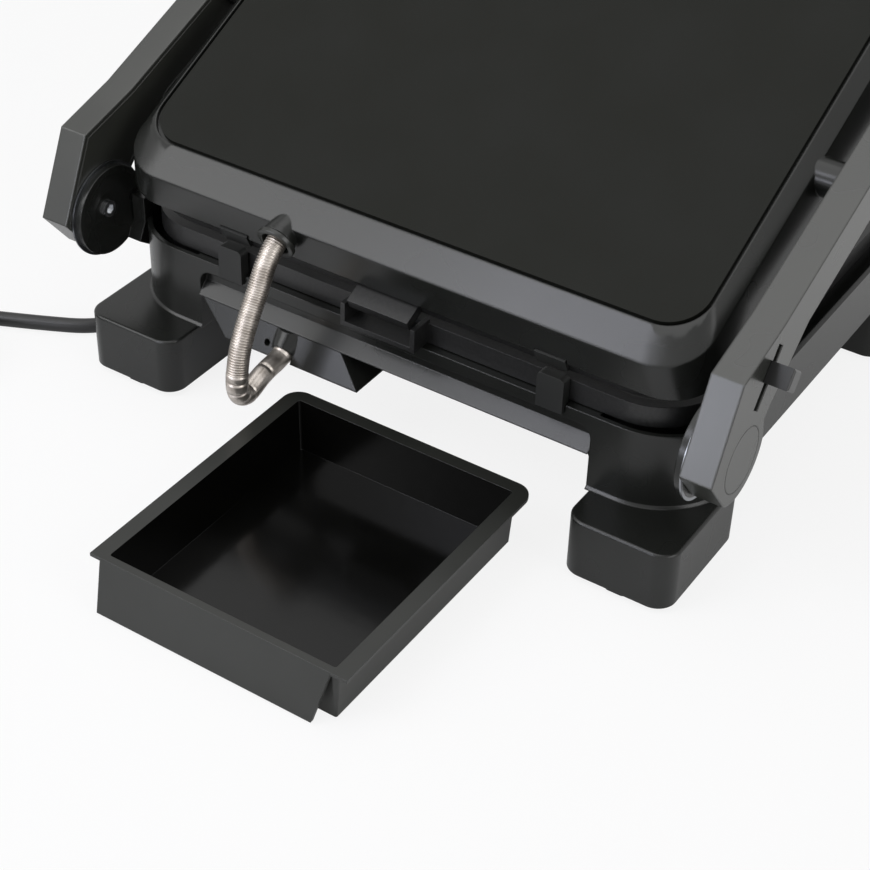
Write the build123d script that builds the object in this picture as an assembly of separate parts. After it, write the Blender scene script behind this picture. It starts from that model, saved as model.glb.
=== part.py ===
from build123d import *
import math
import os

# A contact grill seen with its lid partly open and its drip tray drawn out behind it.
# X runs to the right of someone standing at the front, +Y to the back, +Z up, in millimetres.
# The origin is on the table, midway between the four feet.
# The lid and the arms are drawn closed and then swung open about the hinge axis.
# In the closed lid, r is measured to the back and u upwards from the hinge axis.

# Base shell
FEET_LENGTH = 300.0
FEET_OUT = 3.0
FOOT_WIDTH = 55.6
REAR_FOOT_LENGTH = 72.0
FRONT_FOOT_LENGTH = 60.0
FOOT_HEIGHT = 31.2
FOOT_CORNER = 10.0
FOOT_ROUND = 1.5
FOOT_SWEEP = 1.2
FOOT_SWEEP_SINK = 0.3
SKIRT_CORNER = 3.0
PAD_RAISE = 3.5
PAD_SIZE = 12.0
PAD_EDGE = 3.0
PAD_SEAT = 1.5
BODY_WIDTH = 334.0
BODY_CORNER = 40.0
BODY_SET_IN_REAR = 24.0
BODY_SET_IN_FRONT = 12.0
COLLAR_TOP = 75.5
COLLAR_HEIGHT = 6.6
SIDE_TALL = 33.0
SKIRT_TALL = 20.5
SKIRT_RECESS = 5.0
SKIRT_FLARE = 7.0
SKIRT_FOLD_TALL = 14.5
COLUMN_WIDTH = 54.5
COLUMN_DEPTH = 46.0
ARCH_CORNER = 7.0
WALL = 2.6
FIT = 0.3
RUN = 0.05
LEDGE_THICK = 2.6
LEDGE_WIDTH = 16.0
LEDGE_FRONT = 20.0

# Bottom cover
COVER_THICK = 2.4
COVER_LAP = 11.5
VENT_WIDTH = 4.0
VENT_LENGTH = 50.0
VENT_PITCH = 12.0
SCREW_RADIUS = 1.5
SCREW_HEAD = 3.2
SCREW_HEAD_THICK = 2.0
SCREW_LENGTH = 10.0
SCREW_POST = 4.5
SCREW_OUT = 6.5
SCREW_PLACES = (-80.0, 0.0, 66.0)

# Cable block on the back of the base
BLOCK_DROP = 2.0
BLOCK_FOOT_START = 11.0
BLOCK_HEAD_START = 25.6
BLOCK_FOOT_ROOM = 21.0
BLOCK_HEAD_ROOM = 1.5
BLOCK_DEPTH = 40.0
BLOCK_OUT_HIGH = 6.0
BLOCK_OUT_LOW = 13.0
BLOCK_SIDE = 8.0
BOSS_RADIUS = 7.0
BOSS_SWELL = 10.5
BOSS_START = 9.5
BOSS_LENGTH = 12.0
DRAIN_HOLE = (67.0, 46.0)
DRAIN_RADIUS = 1.6
HOSE_BORE_LENGTH = 24.0

# Plates
PLATE_EAR_GAP = 0.7
PLATE_OVER_SKIRT = 0.5
PLATE_FRONT_ROOM = 8.5
PLATE_CORNER = 33.0
PLATE_EDGE = 11.5
PLATE_SINK = 9.0
PLATE_RIM = 6.0
PLATE_SKIN = 3.0
PLATE_STEP = 4.5
PLATE_STEP_FRONT = 9.0
PLATE_WALL = 3.5
PLATE_RIM_TALL = 11.0
UPPER_RIM_TALL = 5.5
PLATE_POCKET = 6.0
PLATE_GAP = 1.0
UPPER_SET_IN = 2.2
RIB_PITCH = 12.0
RIB_WIDTH = 4.0
RIB_HEIGHT = 3.0
RIB_SIDE_ROOM = 22.0
RIB_FRONT_ROOM = 20.0
RIB_BACK_ROOM = 24.0
SPOUT_HALF = 21.0
SPOUT_WALL = 2.5
SPOUT_FRONT_OF_FEET = 17.0
SPOUT_UNDER = 0.7
SPOUT_TALL = 12.5
HOOD_HALF = 17.0
HOOD_REACH = 11.0
HOOD_TALL = 5.5

# Heating elements and pans
HEATER_RADIUS = 3.3
HEATER_SPAN = 100.0
HEATER_REACH = 84.0
HEATER_GAP = 22.0
HEATER_LEG = 12.0
HEATER_BEND = 10.0
HEATER_TURN = 7.0
PAN_THICK = 0.8
PAN_MARGIN = 12.0
PAN_CORNER = 18.0

# Plate clips
CLIP_SPREAD = 91.0
CLIP_WIDTH = 14.0
CLIP_PLATE_GAP = 0.9
CLIP_THICK = 5.8
CLIP_DOWN = 4.2
CLIP_UP = 14.5
CLIP_FIT = 0.4
CLIP_ROUND = 2.5
UPPER_CLIP_SPREAD = 89.0
UPPER_CLIP_WIDTH = 16.0
UPPER_CLIP_LOW = 4.0
UPPER_CLIP_HIGH = 12.0
UPPER_CLIP_REAR = -6.8

# Hinge, measured from the back of the rear feet
HINGE_SET_IN = 22.0
UPPER_LOW = 2.5
OPEN = 25.35
DISC_RADIUS = 23.5
DISC_THICK = 4.4
DISC_GAP = 0.3
RING_RADIUS = 25.0
RING_THICK = 0.9
RECESS_RADIUS = 21.5
RECESS_FLOOR = 7.5
RECESS_DEPTH = 3.0
WEB_THICK = 8.0
EAR_BACK = 15.0
EAR_FRONT = 62.0
EAR_TOP = 2.0
EAR_NECK = 11.5
EAR_CHIN = 10.0
EAR_CHIN_DOWN = 21.1
EAR_HEEL = 23.4
EAR_HEEL_DOWN = 30.7
EAR_HEEL_LONG = 4.0
BOLT_RADIUS = 3.0
BOLT_HEAD = 4.3
BOLT_HEAD_THICK = 1.6
BOLT_LENGTH = 13.0

# Arms
ARM_GAP = 3.7
ARM_THICK = 15.6
ARM_WALL = 2.4
ARM_COVER = 1.8
ARM_BOSS = 9.0
CAP_RADIUS = 15.6
CAP_THICK = 1.6
CAP_GROOVE = 0.25

# Lid
LID_REAR = -7.2
LID_FRONT_ROOM = 6.8
LID_SIDE_GAP = 1.0
LID_LOW = 8.5
LID_SHOULDER = 29.0
LID_TOP = 35.2
LID_CORNER = 26.0
SHOULDER_ROUND = 1.5
EDGE_ROUND = 1.2
SHOULDER_SIDE = 5.5
SHOULDER_END = 3.8
CHAMFER_SIDE = 6.5
CHAMFER_END = 16.5
LID_WALL = 2.6
PANEL_GROOVE = 2.4
PANEL_THICK = 2.4
PANEL_CORNER = 19.0
LID_PIVOT_R = -135.0
LID_PIVOT_U = 21.5
LID_PIN_RADIUS = 4.0
LID_PIN_LENGTH = 26.0
LID_BOSS_RADIUS = 9.0

# Handle and release
GRIP_RADIUS = 12.0
HAND_ROOM = 26.8
ROD_RADIUS = 4.0
GRIP_BACK = 12.0
GRIP_U = 11.0
GRIP_END_GAP = 0.3
SLOT_START = (-42.3, 30.9)
SLOT_END = (-15.7, 16.9)
SLOT_HALF = 2.9
SLOT_FIT = 0.3
RELEASE_SHARE = 0.42
RELEASE_KNOB = 10.0
RELEASE_REACH = 11.5
RELEASE_FOOT = 14.0
RELEASE_FOOT_THICK = 2.4
RELEASE_SPRING_RADIUS = 2.0
RELEASE_SPRING_LENGTH = 11.5

# Steel hose between base and lid
HOSE_X = 57.0
HOSE_RADIUS = 5.1
HOSE_BORE_FIT = 0.6
HOSE_ROUTE = [(-27.0, 44.8), (-11.5, 34.5), (1.8, 25.0), (13.0, 29.3), (16.9, 45.5), (15.4, 61.5),
              (11.2, 77.5), (4.6, 91.3), (-4.0, 100.3), (-15.0, 105.8), (-23.0, 109.35)]
LID_PORT_U = 24.3
LID_PORT_RADIUS = 9.0
LID_PORT_START = -22.0
LID_PORT_TIP = 5.5
LID_PORT_END = -6.2
GROMMET_RADIUS = 10.0
GROMMET_THICK = 3.0

# Drip tray
TRAY_SIDE_ROOM = 20.3
TRAY_HOSE_ROOM = 10.0
TRAY_LENGTH = 150.8
TRAY_HEIGHT = 29.8
TRAY_FLANGE = 6.4
TRAY_FLANGE_BACK = 5.3
TRAY_WALL = 1.8
TRAY_DRAFT = 2.0
TRAY_CORNER = 9.0
TRAY_WALL_CORNER = 3.0
TRAY_RIM_FRONT = 2.0
TRAY_BACK_SET_IN = 13.9
LIP_THICK = 1.8
PULL_OUT = 5.6
PULL_LOW = 1.2
PULL_THICK = 2.0
PULL_LEFT = 5.8
PULL_RIGHT_HIGH = 8.3
PULL_RIGHT_LOW = 15.0
TRAY_FLOOR = 1.7
TRAY_GUSSET = 8.0
RAIL_START = 70.0
RAIL_LENGTH = 112.0
RAIL_SHELF = 4.5
RAIL_WALL = 2.0
RAIL_FLANGE = 8.0
RAIL_SIDE_GAP = 0.8
RAIL_UNDER_GAP = 0.4

# Front panel
FASCIA_HALF = 74.0
FASCIA_UP = 3.5
FASCIA_DOWN = 1.5
FASCIA_SINK = 1.5
FASCIA_THICK = 2.5
DIAL_DOWN = 14.9
DIAL_RADIUS = 12.0
DIAL_DEPTH = 13.0
DIAL_GAP = 0.4
SPINDLE_RADIUS = 2.5
SPINDLE_SOCKET = 9.0
LAMP_RADIUS = 3.0
LAMP_SPREAD = 36.0
BUTTON_HALF = 11.0
BUTTON_TALL = 6.5
BUTTON_PROUD = 3.6
BUTTON_IN = 55.0
BUTTON_FIT = 0.4
BUTTON_FLANGE = 2.0
BUTTON_STOP = 2.5
BUTTON_STOP_TALL = 0.75
LOWER_BUTTON_DOWN = 4.5
LOWER_BUTTON_BACK = 2.65
UPPER_BUTTON_U = 17.5
UPPER_BUTTON_BACK = 5.8
SPRING_STRIP = 0.5
SPRING_HALF = 19.0
SPRING_TALL = 4.0

# Parts inside the base
THERMOSTAT = (32.0, 20.0, 12.0)
THERMOSTAT_BACK = 34.0
FUSE_RADIUS = 3.0
FUSE_LENGTH = 24.0
FUSE_PLACE = (62.0, 30.0)
TERMINALS = (36.0, 16.0, 10.5)
TERMINALS_PLACE = (78.0, 66.0)

# Mains lead
CORD_RADIUS = 4.0
RELIEF_X = 85.0
RELIEF_Z = 47.7
RELIEF_LENGTH = 34.0
RELIEF_RADIUS = 6.0
CORD_ROUTE = [(85.0, 47.0, 47.7), (85.0, 24.0, 47.7), (85.0, -4.6, 37.0), (102.2, -28.3, 20.0),
              (130.0, -37.3, 8.0), (157.8, -28.3, 4.0), (175.0, -4.6, 4.0), (175.6, 28.0, 4.0),
              (175.0, 60.0, 4.0), (175.3, 84.0, 4.0), (175.0, 105.4, 4.0), (188.0, 126.5, 4.0),
              (214.7, 140.2, 4.0), (243.7, 153.7, 4.0), (260.0, 161.3, 4.0)]
COIL_PLACE = (260.4, 212.3)
COIL_INNER = 34.0
COIL_OUTER = 50.0
COIL_TALL = 16.0
TAIL_ROUTE = [(306.4, 231.0, 11.5), (306.7, 249.0, 9.5), (306.4, 266.0, 13.0), (306.4, 283.0, 19.0),
              (306.4, 295.0, 19.0)]
PLUG_RELIEF = 20.0
PLUG_RELIEF_RADIUS = 7.0
PLUG_RADIUS = 19.0
PLUG_LENGTH = 30.0
PIN_RADIUS = 2.4
PIN_LENGTH = 19.0
PIN_SPREAD = 9.5

REAR = FEET_LENGTH / 2
BODY_HALF = BODY_WIDTH / 2
FEET_HALF = BODY_HALF + FEET_OUT
COLUMN_INNER = BODY_HALF - COLUMN_WIDTH
SIDE_LOW = COLLAR_TOP - SIDE_TALL
SKIRT_LOW = COLLAR_TOP - SKIRT_TALL
SKIRT_FOLD = COLLAR_TOP - SKIRT_FOLD_TALL
BLOCK_LOW = SIDE_LOW - BLOCK_DROP
BLOCK_FOOT = (BLOCK_FOOT_START, COLUMN_INNER - BLOCK_FOOT_ROOM)
BLOCK_HEAD = (BLOCK_HEAD_START, COLUMN_INNER - BLOCK_HEAD_ROOM)
BODY_REAR = REAR - BODY_SET_IN_REAR
BODY_FRONT = -REAR + BODY_SET_IN_FRONT
SKIRT_REAR = BODY_REAR - SKIRT_RECESS
FOOT_TOP = PAD_RAISE + FOOT_HEIGHT
HINGE_Y = REAR - HINGE_SET_IN
PLATE_TOP = COLLAR_TOP + PLATE_EDGE
HINGE_HEIGHT = PLATE_TOP + PLATE_GAP - UPPER_LOW
HINGE = Axis((0, HINGE_Y, HINGE_HEIGHT), (-1, 0, 0))
ARM_INNER = BODY_HALF + ARM_GAP
ARM_OUTER = ARM_INNER + ARM_THICK
DISC_OUTER = ARM_INNER - DISC_GAP
DISC_INNER = DISC_OUTER - DISC_THICK
LID_HALF = DISC_INNER - LID_SIDE_GAP
LID_FRONT = BODY_FRONT + LID_FRONT_ROOM - HINGE_Y
PLATE_HALF = DISC_INNER - WEB_THICK - PLATE_EAR_GAP
PLATE_BACK = SKIRT_REAR + PLATE_OVER_SKIRT
PLATE_FRONT = BODY_FRONT + PLATE_FRONT_ROOM
PLATE_LOW = COLLAR_TOP - PLATE_SINK
CLIP_START = PLATE_BACK + CLIP_PLATE_GAP
CLIP_LOW = COLLAR_TOP - CLIP_DOWN
CLIP_HIGH = COLLAR_TOP + CLIP_UP
PLATE_TALL = PLATE_EDGE + PLATE_SINK
PANEL_HALF = LID_HALF - SHOULDER_SIDE - CHAMFER_SIDE
GRIP_R = LID_FRONT - HAND_ROOM - GRIP_RADIUS
ARM_REACH = GRIP_BACK - GRIP_R
BUTTON_X = BODY_HALF - BUTTON_IN
LOWER_BUTTON_Z = COLLAR_TOP - LOWER_BUTTON_DOWN
FASCIA_LOW = SIDE_LOW + FASCIA_UP
FASCIA_HIGH = COLLAR_TOP - FASCIA_DOWN
DIAL_Z = COLLAR_TOP - DIAL_DOWN
THERMOSTAT_Y = BODY_FRONT + THERMOSTAT_BACK
TRAY_LEFT = TRAY_SIDE_ROOM - COLUMN_INNER
TRAY_RIGHT = HOSE_X - TRAY_HOSE_ROOM
TRAY_HALF = (TRAY_RIGHT - TRAY_LEFT) / 2
TRAY_MID = (TRAY_RIGHT + TRAY_LEFT) / 2
TRAY_BACK = REAR - TRAY_BACK_SET_IN
TRAY_FRONT = TRAY_BACK + TRAY_LENGTH
SPOUT_END = REAR - SPOUT_FRONT_OF_FEET


def block(x0, x1, y0, y1, z0, z1):
    """A box between two corners, given in any order."""
    size = Box(abs(x1 - x0), abs(y1 - y0), abs(z1 - z0))
    return Pos((x0 + x1) / 2, (y0 + y1) / 2, (z0 + z1) / 2) * size


def slab(x0, x1, y0, y1, z0, z1, corner):
    """An upright prism with rounded corners between two corners."""
    outline = RectangleRounded(abs(x1 - x0), abs(y1 - y0), corner)
    return extrude(Pos((x0 + x1) / 2, (y0 + y1) / 2, z0) * outline, z1 - z0)


def rod(x0, x1, y, z, radius):
    """A round bar along X."""
    bar = Cylinder(radius, abs(x1 - x0), rotation=(0, 90, 0))
    return Pos((x0 + x1) / 2, y, z) * bar


def rod_y(x, y0, y1, z, radius):
    """A round bar along Y."""
    bar = Cylinder(radius, abs(y1 - y0), rotation=(90, 0, 0))
    return Pos(x, (y0 + y1) / 2, z) * bar


def post(x, y, z0, z1, radius):
    """A round upright."""
    return Pos(x, y, (z0 + z1) / 2) * Cylinder(radius, abs(z1 - z0))


def sheet_x(points, x0, x1):
    """A flat plate across X, from an outline in y and z."""
    start = min(x0, x1)
    wire = Polyline(*[(start, y, z) for y, z in points], close=True)
    return extrude(make_face(wire), abs(x1 - x0), dir=(1, 0, 0))


def sheet_y(points, y0, y1):
    """A flat plate across Y, from an outline in x and z."""
    start = min(y0, y1)
    wire = Polyline(*[(x, start, z) for x, z in points], close=True)
    return extrude(make_face(wire), abs(y1 - y0), dir=(0, 1, 0))


def at_hinge(r, u):
    """The y and z of a point of the closed lid or arm."""
    return HINGE_Y + r, HINGE_HEIGHT + u


def opened(shape):
    """The shape swung from closed to how far the lid stands open."""
    return shape.rotate(HINGE, OPEN)


NODES = {}


def keep(name, *pieces):
    """Records a finished piece, or a group of separate solids, under its node name."""
    solids = []
    for piece in pieces:
        solids += piece.solids()
    NODES[name] = solids[0] if len(solids) == 1 else Compound(children=solids)


def feet_places():
    """The four feet, as x and y ranges."""
    inner = FEET_HALF - FOOT_WIDTH
    places = []
    for side in (-1, 1):
        x0, x1 = sorted((side * inner, side * FEET_HALF))
        places.append((x0, x1, REAR - REAR_FOOT_LENGTH, REAR))
        places.append((x0, x1, -REAR, -REAR + FRONT_FOOT_LENGTH))
    return places


def column_places():
    """The four columns that stand on the feet, as x and y ranges."""
    places = []
    for side in (-1, 1):
        x0, x1 = sorted((side * COLUMN_INNER, side * BODY_HALF))
        places.append((x0, x1, BODY_REAR - COLUMN_DEPTH, BODY_REAR))
        places.append((x0, x1, BODY_FRONT, BODY_FRONT + COLUMN_DEPTH))
    return places


def pad_outline(x, y, z0, z1):
    """A square rubber pad, or its seat."""
    half = PAD_SIZE / 2
    return slab(x - half, x + half, y - half, y + half, z0, z1, 3.0)


def pad_centres():
    """The middle of each rubber pad, near the outer end of its foot."""
    reach = REAR - PAD_EDGE - PAD_SIZE / 2
    return [((x0 + x1) / 2, math.copysign(reach, y0 + y1)) for x0, x1, y0, y1 in feet_places()]


def screw_places():
    """Where the screws of the bottom cover stand."""
    x = COLUMN_INNER + SCREW_OUT
    return [(side * x, y) for side in (-1, 1) for y in SCREW_PLACES]


def base_outside():
    """The outside of the base as one solid."""
    body = slab(-BODY_HALF, BODY_HALF, BODY_FRONT, BODY_REAR, SIDE_LOW, COLLAR_TOP, BODY_CORNER)
    inner, under = COLUMN_INNER, SIDE_LOW - 1
    body -= block(-inner, inner, BODY_FRONT + WALL, BODY_REAR + 1, under, SKIRT_LOW)
    arch = block(-inner, inner, SKIRT_REAR, BODY_REAR + 1, under, COLLAR_TOP - COLLAR_HEIGHT)
    body -= fillet(arch.edges().filter_by(Axis.Y).sort_by(Axis.Z)[-2:], ARCH_CORNER)
    tall = slab(-BODY_HALF, BODY_HALF, BODY_FRONT, BODY_REAR, FOOT_TOP - 2, SIDE_LOW + 2, BODY_CORNER)
    for x0, x1, y0, y1 in column_places():
        body += tall & block(x0, x1, y0, y1, FOOT_TOP - 1, SIDE_LOW + 1)
    for x0, x1, y0, y1 in feet_places():
        foot = slab(x0, x1, y0, y1, PAD_RAISE, FOOT_TOP, FOOT_CORNER)
        body += fillet(foot.faces().sort_by(Axis.Z)[-1].edges(), FOOT_ROUND)
    outline = Pos(0, (BODY_REAR + BODY_FRONT) / 2, FOOT_TOP) * RectangleRounded(
        BODY_WIDTH, BODY_REAR - BODY_FRONT, BODY_CORNER)
    sink = FOOT_SWEEP_SINK
    wide, narrow = offset(outline, amount=FOOT_SWEEP + sink), offset(outline, amount=-sink)
    sweep_up = loft([Pos(0, 0, -sink) * wide, Pos(0, 0, FOOT_SWEEP + sink) * narrow], ruled=True)
    for x0, x1, y0, y1 in column_places():
        side = math.copysign(1, x0 + x1)
        near, far = (y0, REAR) if y0 > 0 else (-REAR, y1)
        body += sweep_up & block(side * inner, side * FEET_HALF, near, far, FOOT_TOP - 1, FOOT_TOP + 2)
    flare = [(SKIRT_REAR - 1, SKIRT_LOW), (SKIRT_REAR + SKIRT_FLARE, SKIRT_LOW),
             (SKIRT_REAR, SKIRT_FOLD), (SKIRT_REAR - 1, SKIRT_FOLD)]
    body += sheet_x(flare, -inner, inner)
    start, low = inner - SKIRT_CORNER, SKIRT_LOW - SKIRT_CORNER
    for side in (-1, 1):
        web = block(side * start, side * inner, SKIRT_REAR - WALL, BODY_REAR, low, SKIRT_LOW)
        body += web - rod_y(side * start, SKIRT_REAR - WALL - 1, BODY_REAR + 1, low, SKIRT_CORNER)
    return body


def base_inside():
    """The space within the walls of the base."""
    half = BODY_HALF - WALL
    front, back = BODY_FRONT + WALL, BODY_REAR - WALL
    corner = BODY_CORNER - WALL
    inner = COLUMN_INNER + WALL
    room = slab(-half, half, front, back, SKIRT_LOW, COLLAR_TOP + 1, corner)
    room -= block(-inner, inner, SKIRT_REAR - WALL, BODY_REAR, SIDE_LOW, COLLAR_TOP + 2)
    low = slab(-half, half, front, back, FOOT_TOP - 2 * WALL, SKIRT_LOW + 1, corner)
    for side in (-1, 1):
        room += low & block(side * inner, side * BODY_HALF, front, back, SIDE_LOW + WALL, SKIRT_LOW + 1)
    for (x0, x1, y0, y1), foot in zip(column_places(), feet_places()):
        inside = block(x0 + WALL, x1 - WALL, y0 + WALL, y1 - WALL,
                       FOOT_TOP - 1.5 * WALL, SIDE_LOW + 2 * WALL)
        above = block(x0, x1, y0, y1, FOOT_TOP + WALL / 2, SIDE_LOW + 3 * WALL)
        neck = slab(foot[0] + WALL, foot[1] - WALL, foot[2] + WALL, foot[3] - WALL,
                    FOOT_TOP - 2 * WALL, FOOT_TOP + WALL, FOOT_CORNER - WALL)
        room += low & inside & (neck + above)
    for x0, x1, y0, y1 in feet_places():
        floor = PAD_RAISE + PAD_SEAT + WALL
        room += slab(x0 + WALL, x1 - WALL, y0 + WALL, y1 - WALL,
                     floor, FOOT_TOP - WALL, FOOT_CORNER - WALL)
    return room


def base_ledge():
    """The shelf inside the base that the lower plate rests on."""
    half, front, corner = BODY_HALF - WALL, BODY_FRONT + WALL, BODY_CORNER - WALL
    low, high = PLATE_LOW - LEDGE_THICK, PLATE_LOW
    ledge = slab(-half, half, front, BODY_REAR - WALL, low, high, corner)
    ledge -= slab(-half + LEDGE_WIDTH, half - LEDGE_WIDTH, front + LEDGE_FRONT, SKIRT_REAR - LEDGE_WIDTH,
                  low - 1, high + 1, corner - LEDGE_WIDTH)
    return ledge - block(-COLUMN_INNER, COLUMN_INNER, SKIRT_REAR, BODY_REAR, low - 1, high + 1)


def ear_outline(grow):
    """Side view of the ear that carries the hinge disc, in y and z."""
    back, front = HINGE_Y - EAR_BACK + grow, HINGE_Y - EAR_FRONT - grow
    top = HINGE_HEIGHT + EAR_TOP + grow
    chin = HINGE_Y - EAR_CHIN + grow, HINGE_HEIGHT - EAR_CHIN_DOWN
    heel = HINGE_Y - EAR_HEEL, HINGE_HEIGHT - EAR_HEEL_DOWN - grow
    inward = heel[0] - EAR_HEEL_LONG - grow
    return [(back, top), (back, HINGE_HEIGHT - EAR_NECK), chin, heel, (inward, heel[1]),
            (inward, PLATE_LOW), (front, PLATE_LOW), (front, top - 12), (front + 28, top)]


def make_base():
    """Outer shell of the base, with its pads."""
    shell = base_outside() - base_inside() + base_ledge()
    for x, y in screw_places():
        stand = post(x, y, SIDE_LOW + 1, SKIRT_LOW, SCREW_POST)
        shell += stand - post(x, y, SIDE_LOW + WALL, SKIRT_LOW + 1, SCREW_RADIUS)
    for x, y in pad_centres():
        shell -= pad_outline(x, y, PAD_RAISE - 1, PAD_RAISE + PAD_SEAT)
    notch = CLIP_WIDTH / 2 + CLIP_FIT
    for x in (-CLIP_SPREAD, CLIP_SPREAD):
        shell -= block(x - notch, x + notch, CLIP_START - CLIP_FIT, BODY_REAR + 1,
                       CLIP_LOW, COLLAR_TOP + 1)
    for side in (-1, 1):
        ear_start = side * (DISC_INNER - WEB_THICK - FIT)
        shell -= sheet_x(ear_outline(FIT), ear_start, side * (BODY_HALF + 1))
    shell -= block(-FASCIA_HALF, FASCIA_HALF, BODY_FRONT - 1, BODY_FRONT + FASCIA_SINK,
                   FASCIA_LOW, FASCIA_HIGH)
    shell -= rod_y(0, BODY_FRONT - 1, BODY_FRONT + 2 * WALL, DIAL_Z, SPINDLE_RADIUS + RUN)
    for side in (-1, 1):
        shell -= rod_y(side * LAMP_SPREAD, BODY_FRONT - 1, BODY_FRONT + 2 * WALL, DIAL_Z, LAMP_RADIUS)
    shell -= button_hole(BODY_FRONT, LOWER_BUTTON_Z)
    shell += spring_stands(BODY_FRONT, LOWER_BUTTON_Z, LOWER_BUTTON_BACK)
    keep("base_housing", shell)
    keep("foot_pads", *[pad_outline(x, y, 0, PAD_RAISE + PAD_SEAT) for x, y in pad_centres()])


def make_bottom_cover():
    """Plate that closes the base from below, with its screws."""
    lap = COLUMN_INNER + COVER_LAP
    high = SKIRT_LOW + COVER_THICK
    cover = block(-lap, lap, BODY_FRONT + WALL + FIT, SKIRT_REAR - WALL - FIT, SKIRT_LOW, high)
    for row in range(-3, 4):
        y = row * VENT_PITCH
        cover -= block(-VENT_LENGTH / 2, VENT_LENGTH / 2, y, y + VENT_WIDTH, SKIRT_LOW - 1, high + 1)
    screws = []
    for x, y in screw_places():
        cover -= post(x, y, SKIRT_LOW - 1, high + 1, SCREW_RADIUS)
        shank = post(x, y, high - SCREW_LENGTH, high + SCREW_HEAD_THICK, SCREW_RADIUS)
        screws.append(shank + post(x, y, high, high + SCREW_HEAD_THICK, SCREW_HEAD))
    keep("base_bottom_cover", cover)
    keep("bottom_cover_screws", *screws)


def hose_points():
    """The route of the steel hose."""
    return [Vector(HOSE_X, REAR + y, PAD_RAISE + z) for y, z in HOSE_ROUTE]


def along(start, toward, begin, length, radius):
    """A cylinder on the line from one point toward another."""
    direction = (toward - start).normalized()
    plane = Plane(origin=start + direction * begin, z_dir=direction)
    return extrude(plane * Circle(radius), length)


def make_cable_block():
    """The block under the skirt that the steel hose and the mains lead go into."""
    front, back = SKIRT_REAR - BLOCK_DEPTH, SKIRT_REAR
    side_view = [(front, BLOCK_LOW), (back + BLOCK_OUT_LOW, BLOCK_LOW),
                 (back + BLOCK_OUT_HIGH, SKIRT_LOW), (front, SKIRT_LOW)]
    rear_view = [(BLOCK_HEAD[0], SKIRT_LOW), (BLOCK_FOOT[0], BLOCK_LOW),
                 (BLOCK_FOOT[1], BLOCK_LOW), (BLOCK_HEAD[1], SKIRT_LOW)]
    body = sheet_y(rear_view, front, back + BLOCK_OUT_LOW) & sheet_x(side_view, 0, COLUMN_INNER)
    entry, inward = hose_points()[1], hose_points()[0]
    direction = (inward - entry).normalized()
    mouth = Plane(origin=entry + direction * BOSS_START, z_dir=direction)
    ends = [mouth * Circle(BOSS_RADIUS), mouth.offset(BOSS_LENGTH) * Circle(BOSS_SWELL)]
    swelling = loft(ends, ruled=True)
    body += swelling & block(0, COLUMN_INNER, front, REAR, BLOCK_LOW, SKIRT_LOW)
    body -= sheet_y([(BLOCK_HEAD[0] + BLOCK_SIDE, SKIRT_LOW + 1),
                     (BLOCK_FOOT[0] + BLOCK_SIDE, BLOCK_LOW + WALL),
                     (BLOCK_FOOT[1] - BLOCK_SIDE, BLOCK_LOW + WALL),
                     (BLOCK_HEAD[1] - BLOCK_SIDE, SKIRT_LOW + 1)], front + WALL, back - 2 * WALL)
    body -= along(entry, inward, 0, HOSE_BORE_LENGTH, HOSE_RADIUS + HOSE_BORE_FIT)
    body -= rod_y(DRAIN_HOLE[0], back - 3 * WALL, back + BLOCK_OUT_LOW, DRAIN_HOLE[1], DRAIN_RADIUS)
    keep("cable_block", body)

    relief = Cone(RELIEF_RADIUS, CORD_RADIUS + 0.6, RELIEF_LENGTH, rotation=(90, 0, 0))
    keep("strain_relief", Pos(RELIEF_X, front - RELIEF_LENGTH / 2, RELIEF_Z) * relief)


def plate_casting(half, front, back, rim_tall):
    """A ribbed grill plate with its cooking face up at height zero."""
    corner = PLATE_CORNER
    casting = slab(-half, half, front, back, -rim_tall, 0, corner)
    deep = half - PLATE_STEP
    y0, y1 = front + PLATE_STEP_FRONT, back - PLATE_STEP
    casting += slab(-deep, deep, y0, y1, -PLATE_TALL, -rim_tall + 1, corner - PLATE_STEP)
    casting -= slab(-half + PLATE_RIM, half - PLATE_RIM, front + PLATE_RIM, back - PLATE_RIM,
                    -PLATE_POCKET, 1, corner - PLATE_RIM)
    under = deep - PLATE_WALL
    casting -= slab(-under, under, y0 + PLATE_WALL, y1 - PLATE_WALL, -PLATE_TALL - 1,
                    -PLATE_POCKET - PLATE_SKIN, corner - PLATE_STEP - PLATE_WALL)
    count = int((half - RIB_SIDE_ROOM) / RIB_PITCH)
    for row in range(-count, count + 1):
        x = row * RIB_PITCH
        casting += slab(x - RIB_WIDTH / 2, x + RIB_WIDTH / 2, front + RIB_FRONT_ROOM,
                        back - RIB_BACK_ROOM, -PLATE_POCKET - 1, -PLATE_POCKET + RIB_HEIGHT, 1.5)
    return casting


def heater_loop(middle):
    """A bent heating tube lying under a plate whose underside is at height zero."""
    z = -HEATER_RADIUS
    y0, y1 = middle - HEATER_REACH, middle + HEATER_REACH
    corners = [(-HEATER_GAP, y1, z - HEATER_LEG), (-HEATER_GAP, y1, z), (-HEATER_SPAN, y1, z),
               (-HEATER_SPAN, y0, z), (HEATER_SPAN, y0, z), (HEATER_SPAN, y1, z), (HEATER_GAP, y1, z),
               (HEATER_GAP, y1, z - HEATER_LEG)]
    bends = [HEATER_TURN] + [HEATER_BEND] * 4 + [HEATER_TURN]
    path = FilletPolyline(*corners, radius=bends)
    start = Plane(origin=corners[0], z_dir=(0, 0, 1))
    return sweep(start * Circle(HEATER_RADIUS), path=path)


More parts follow.
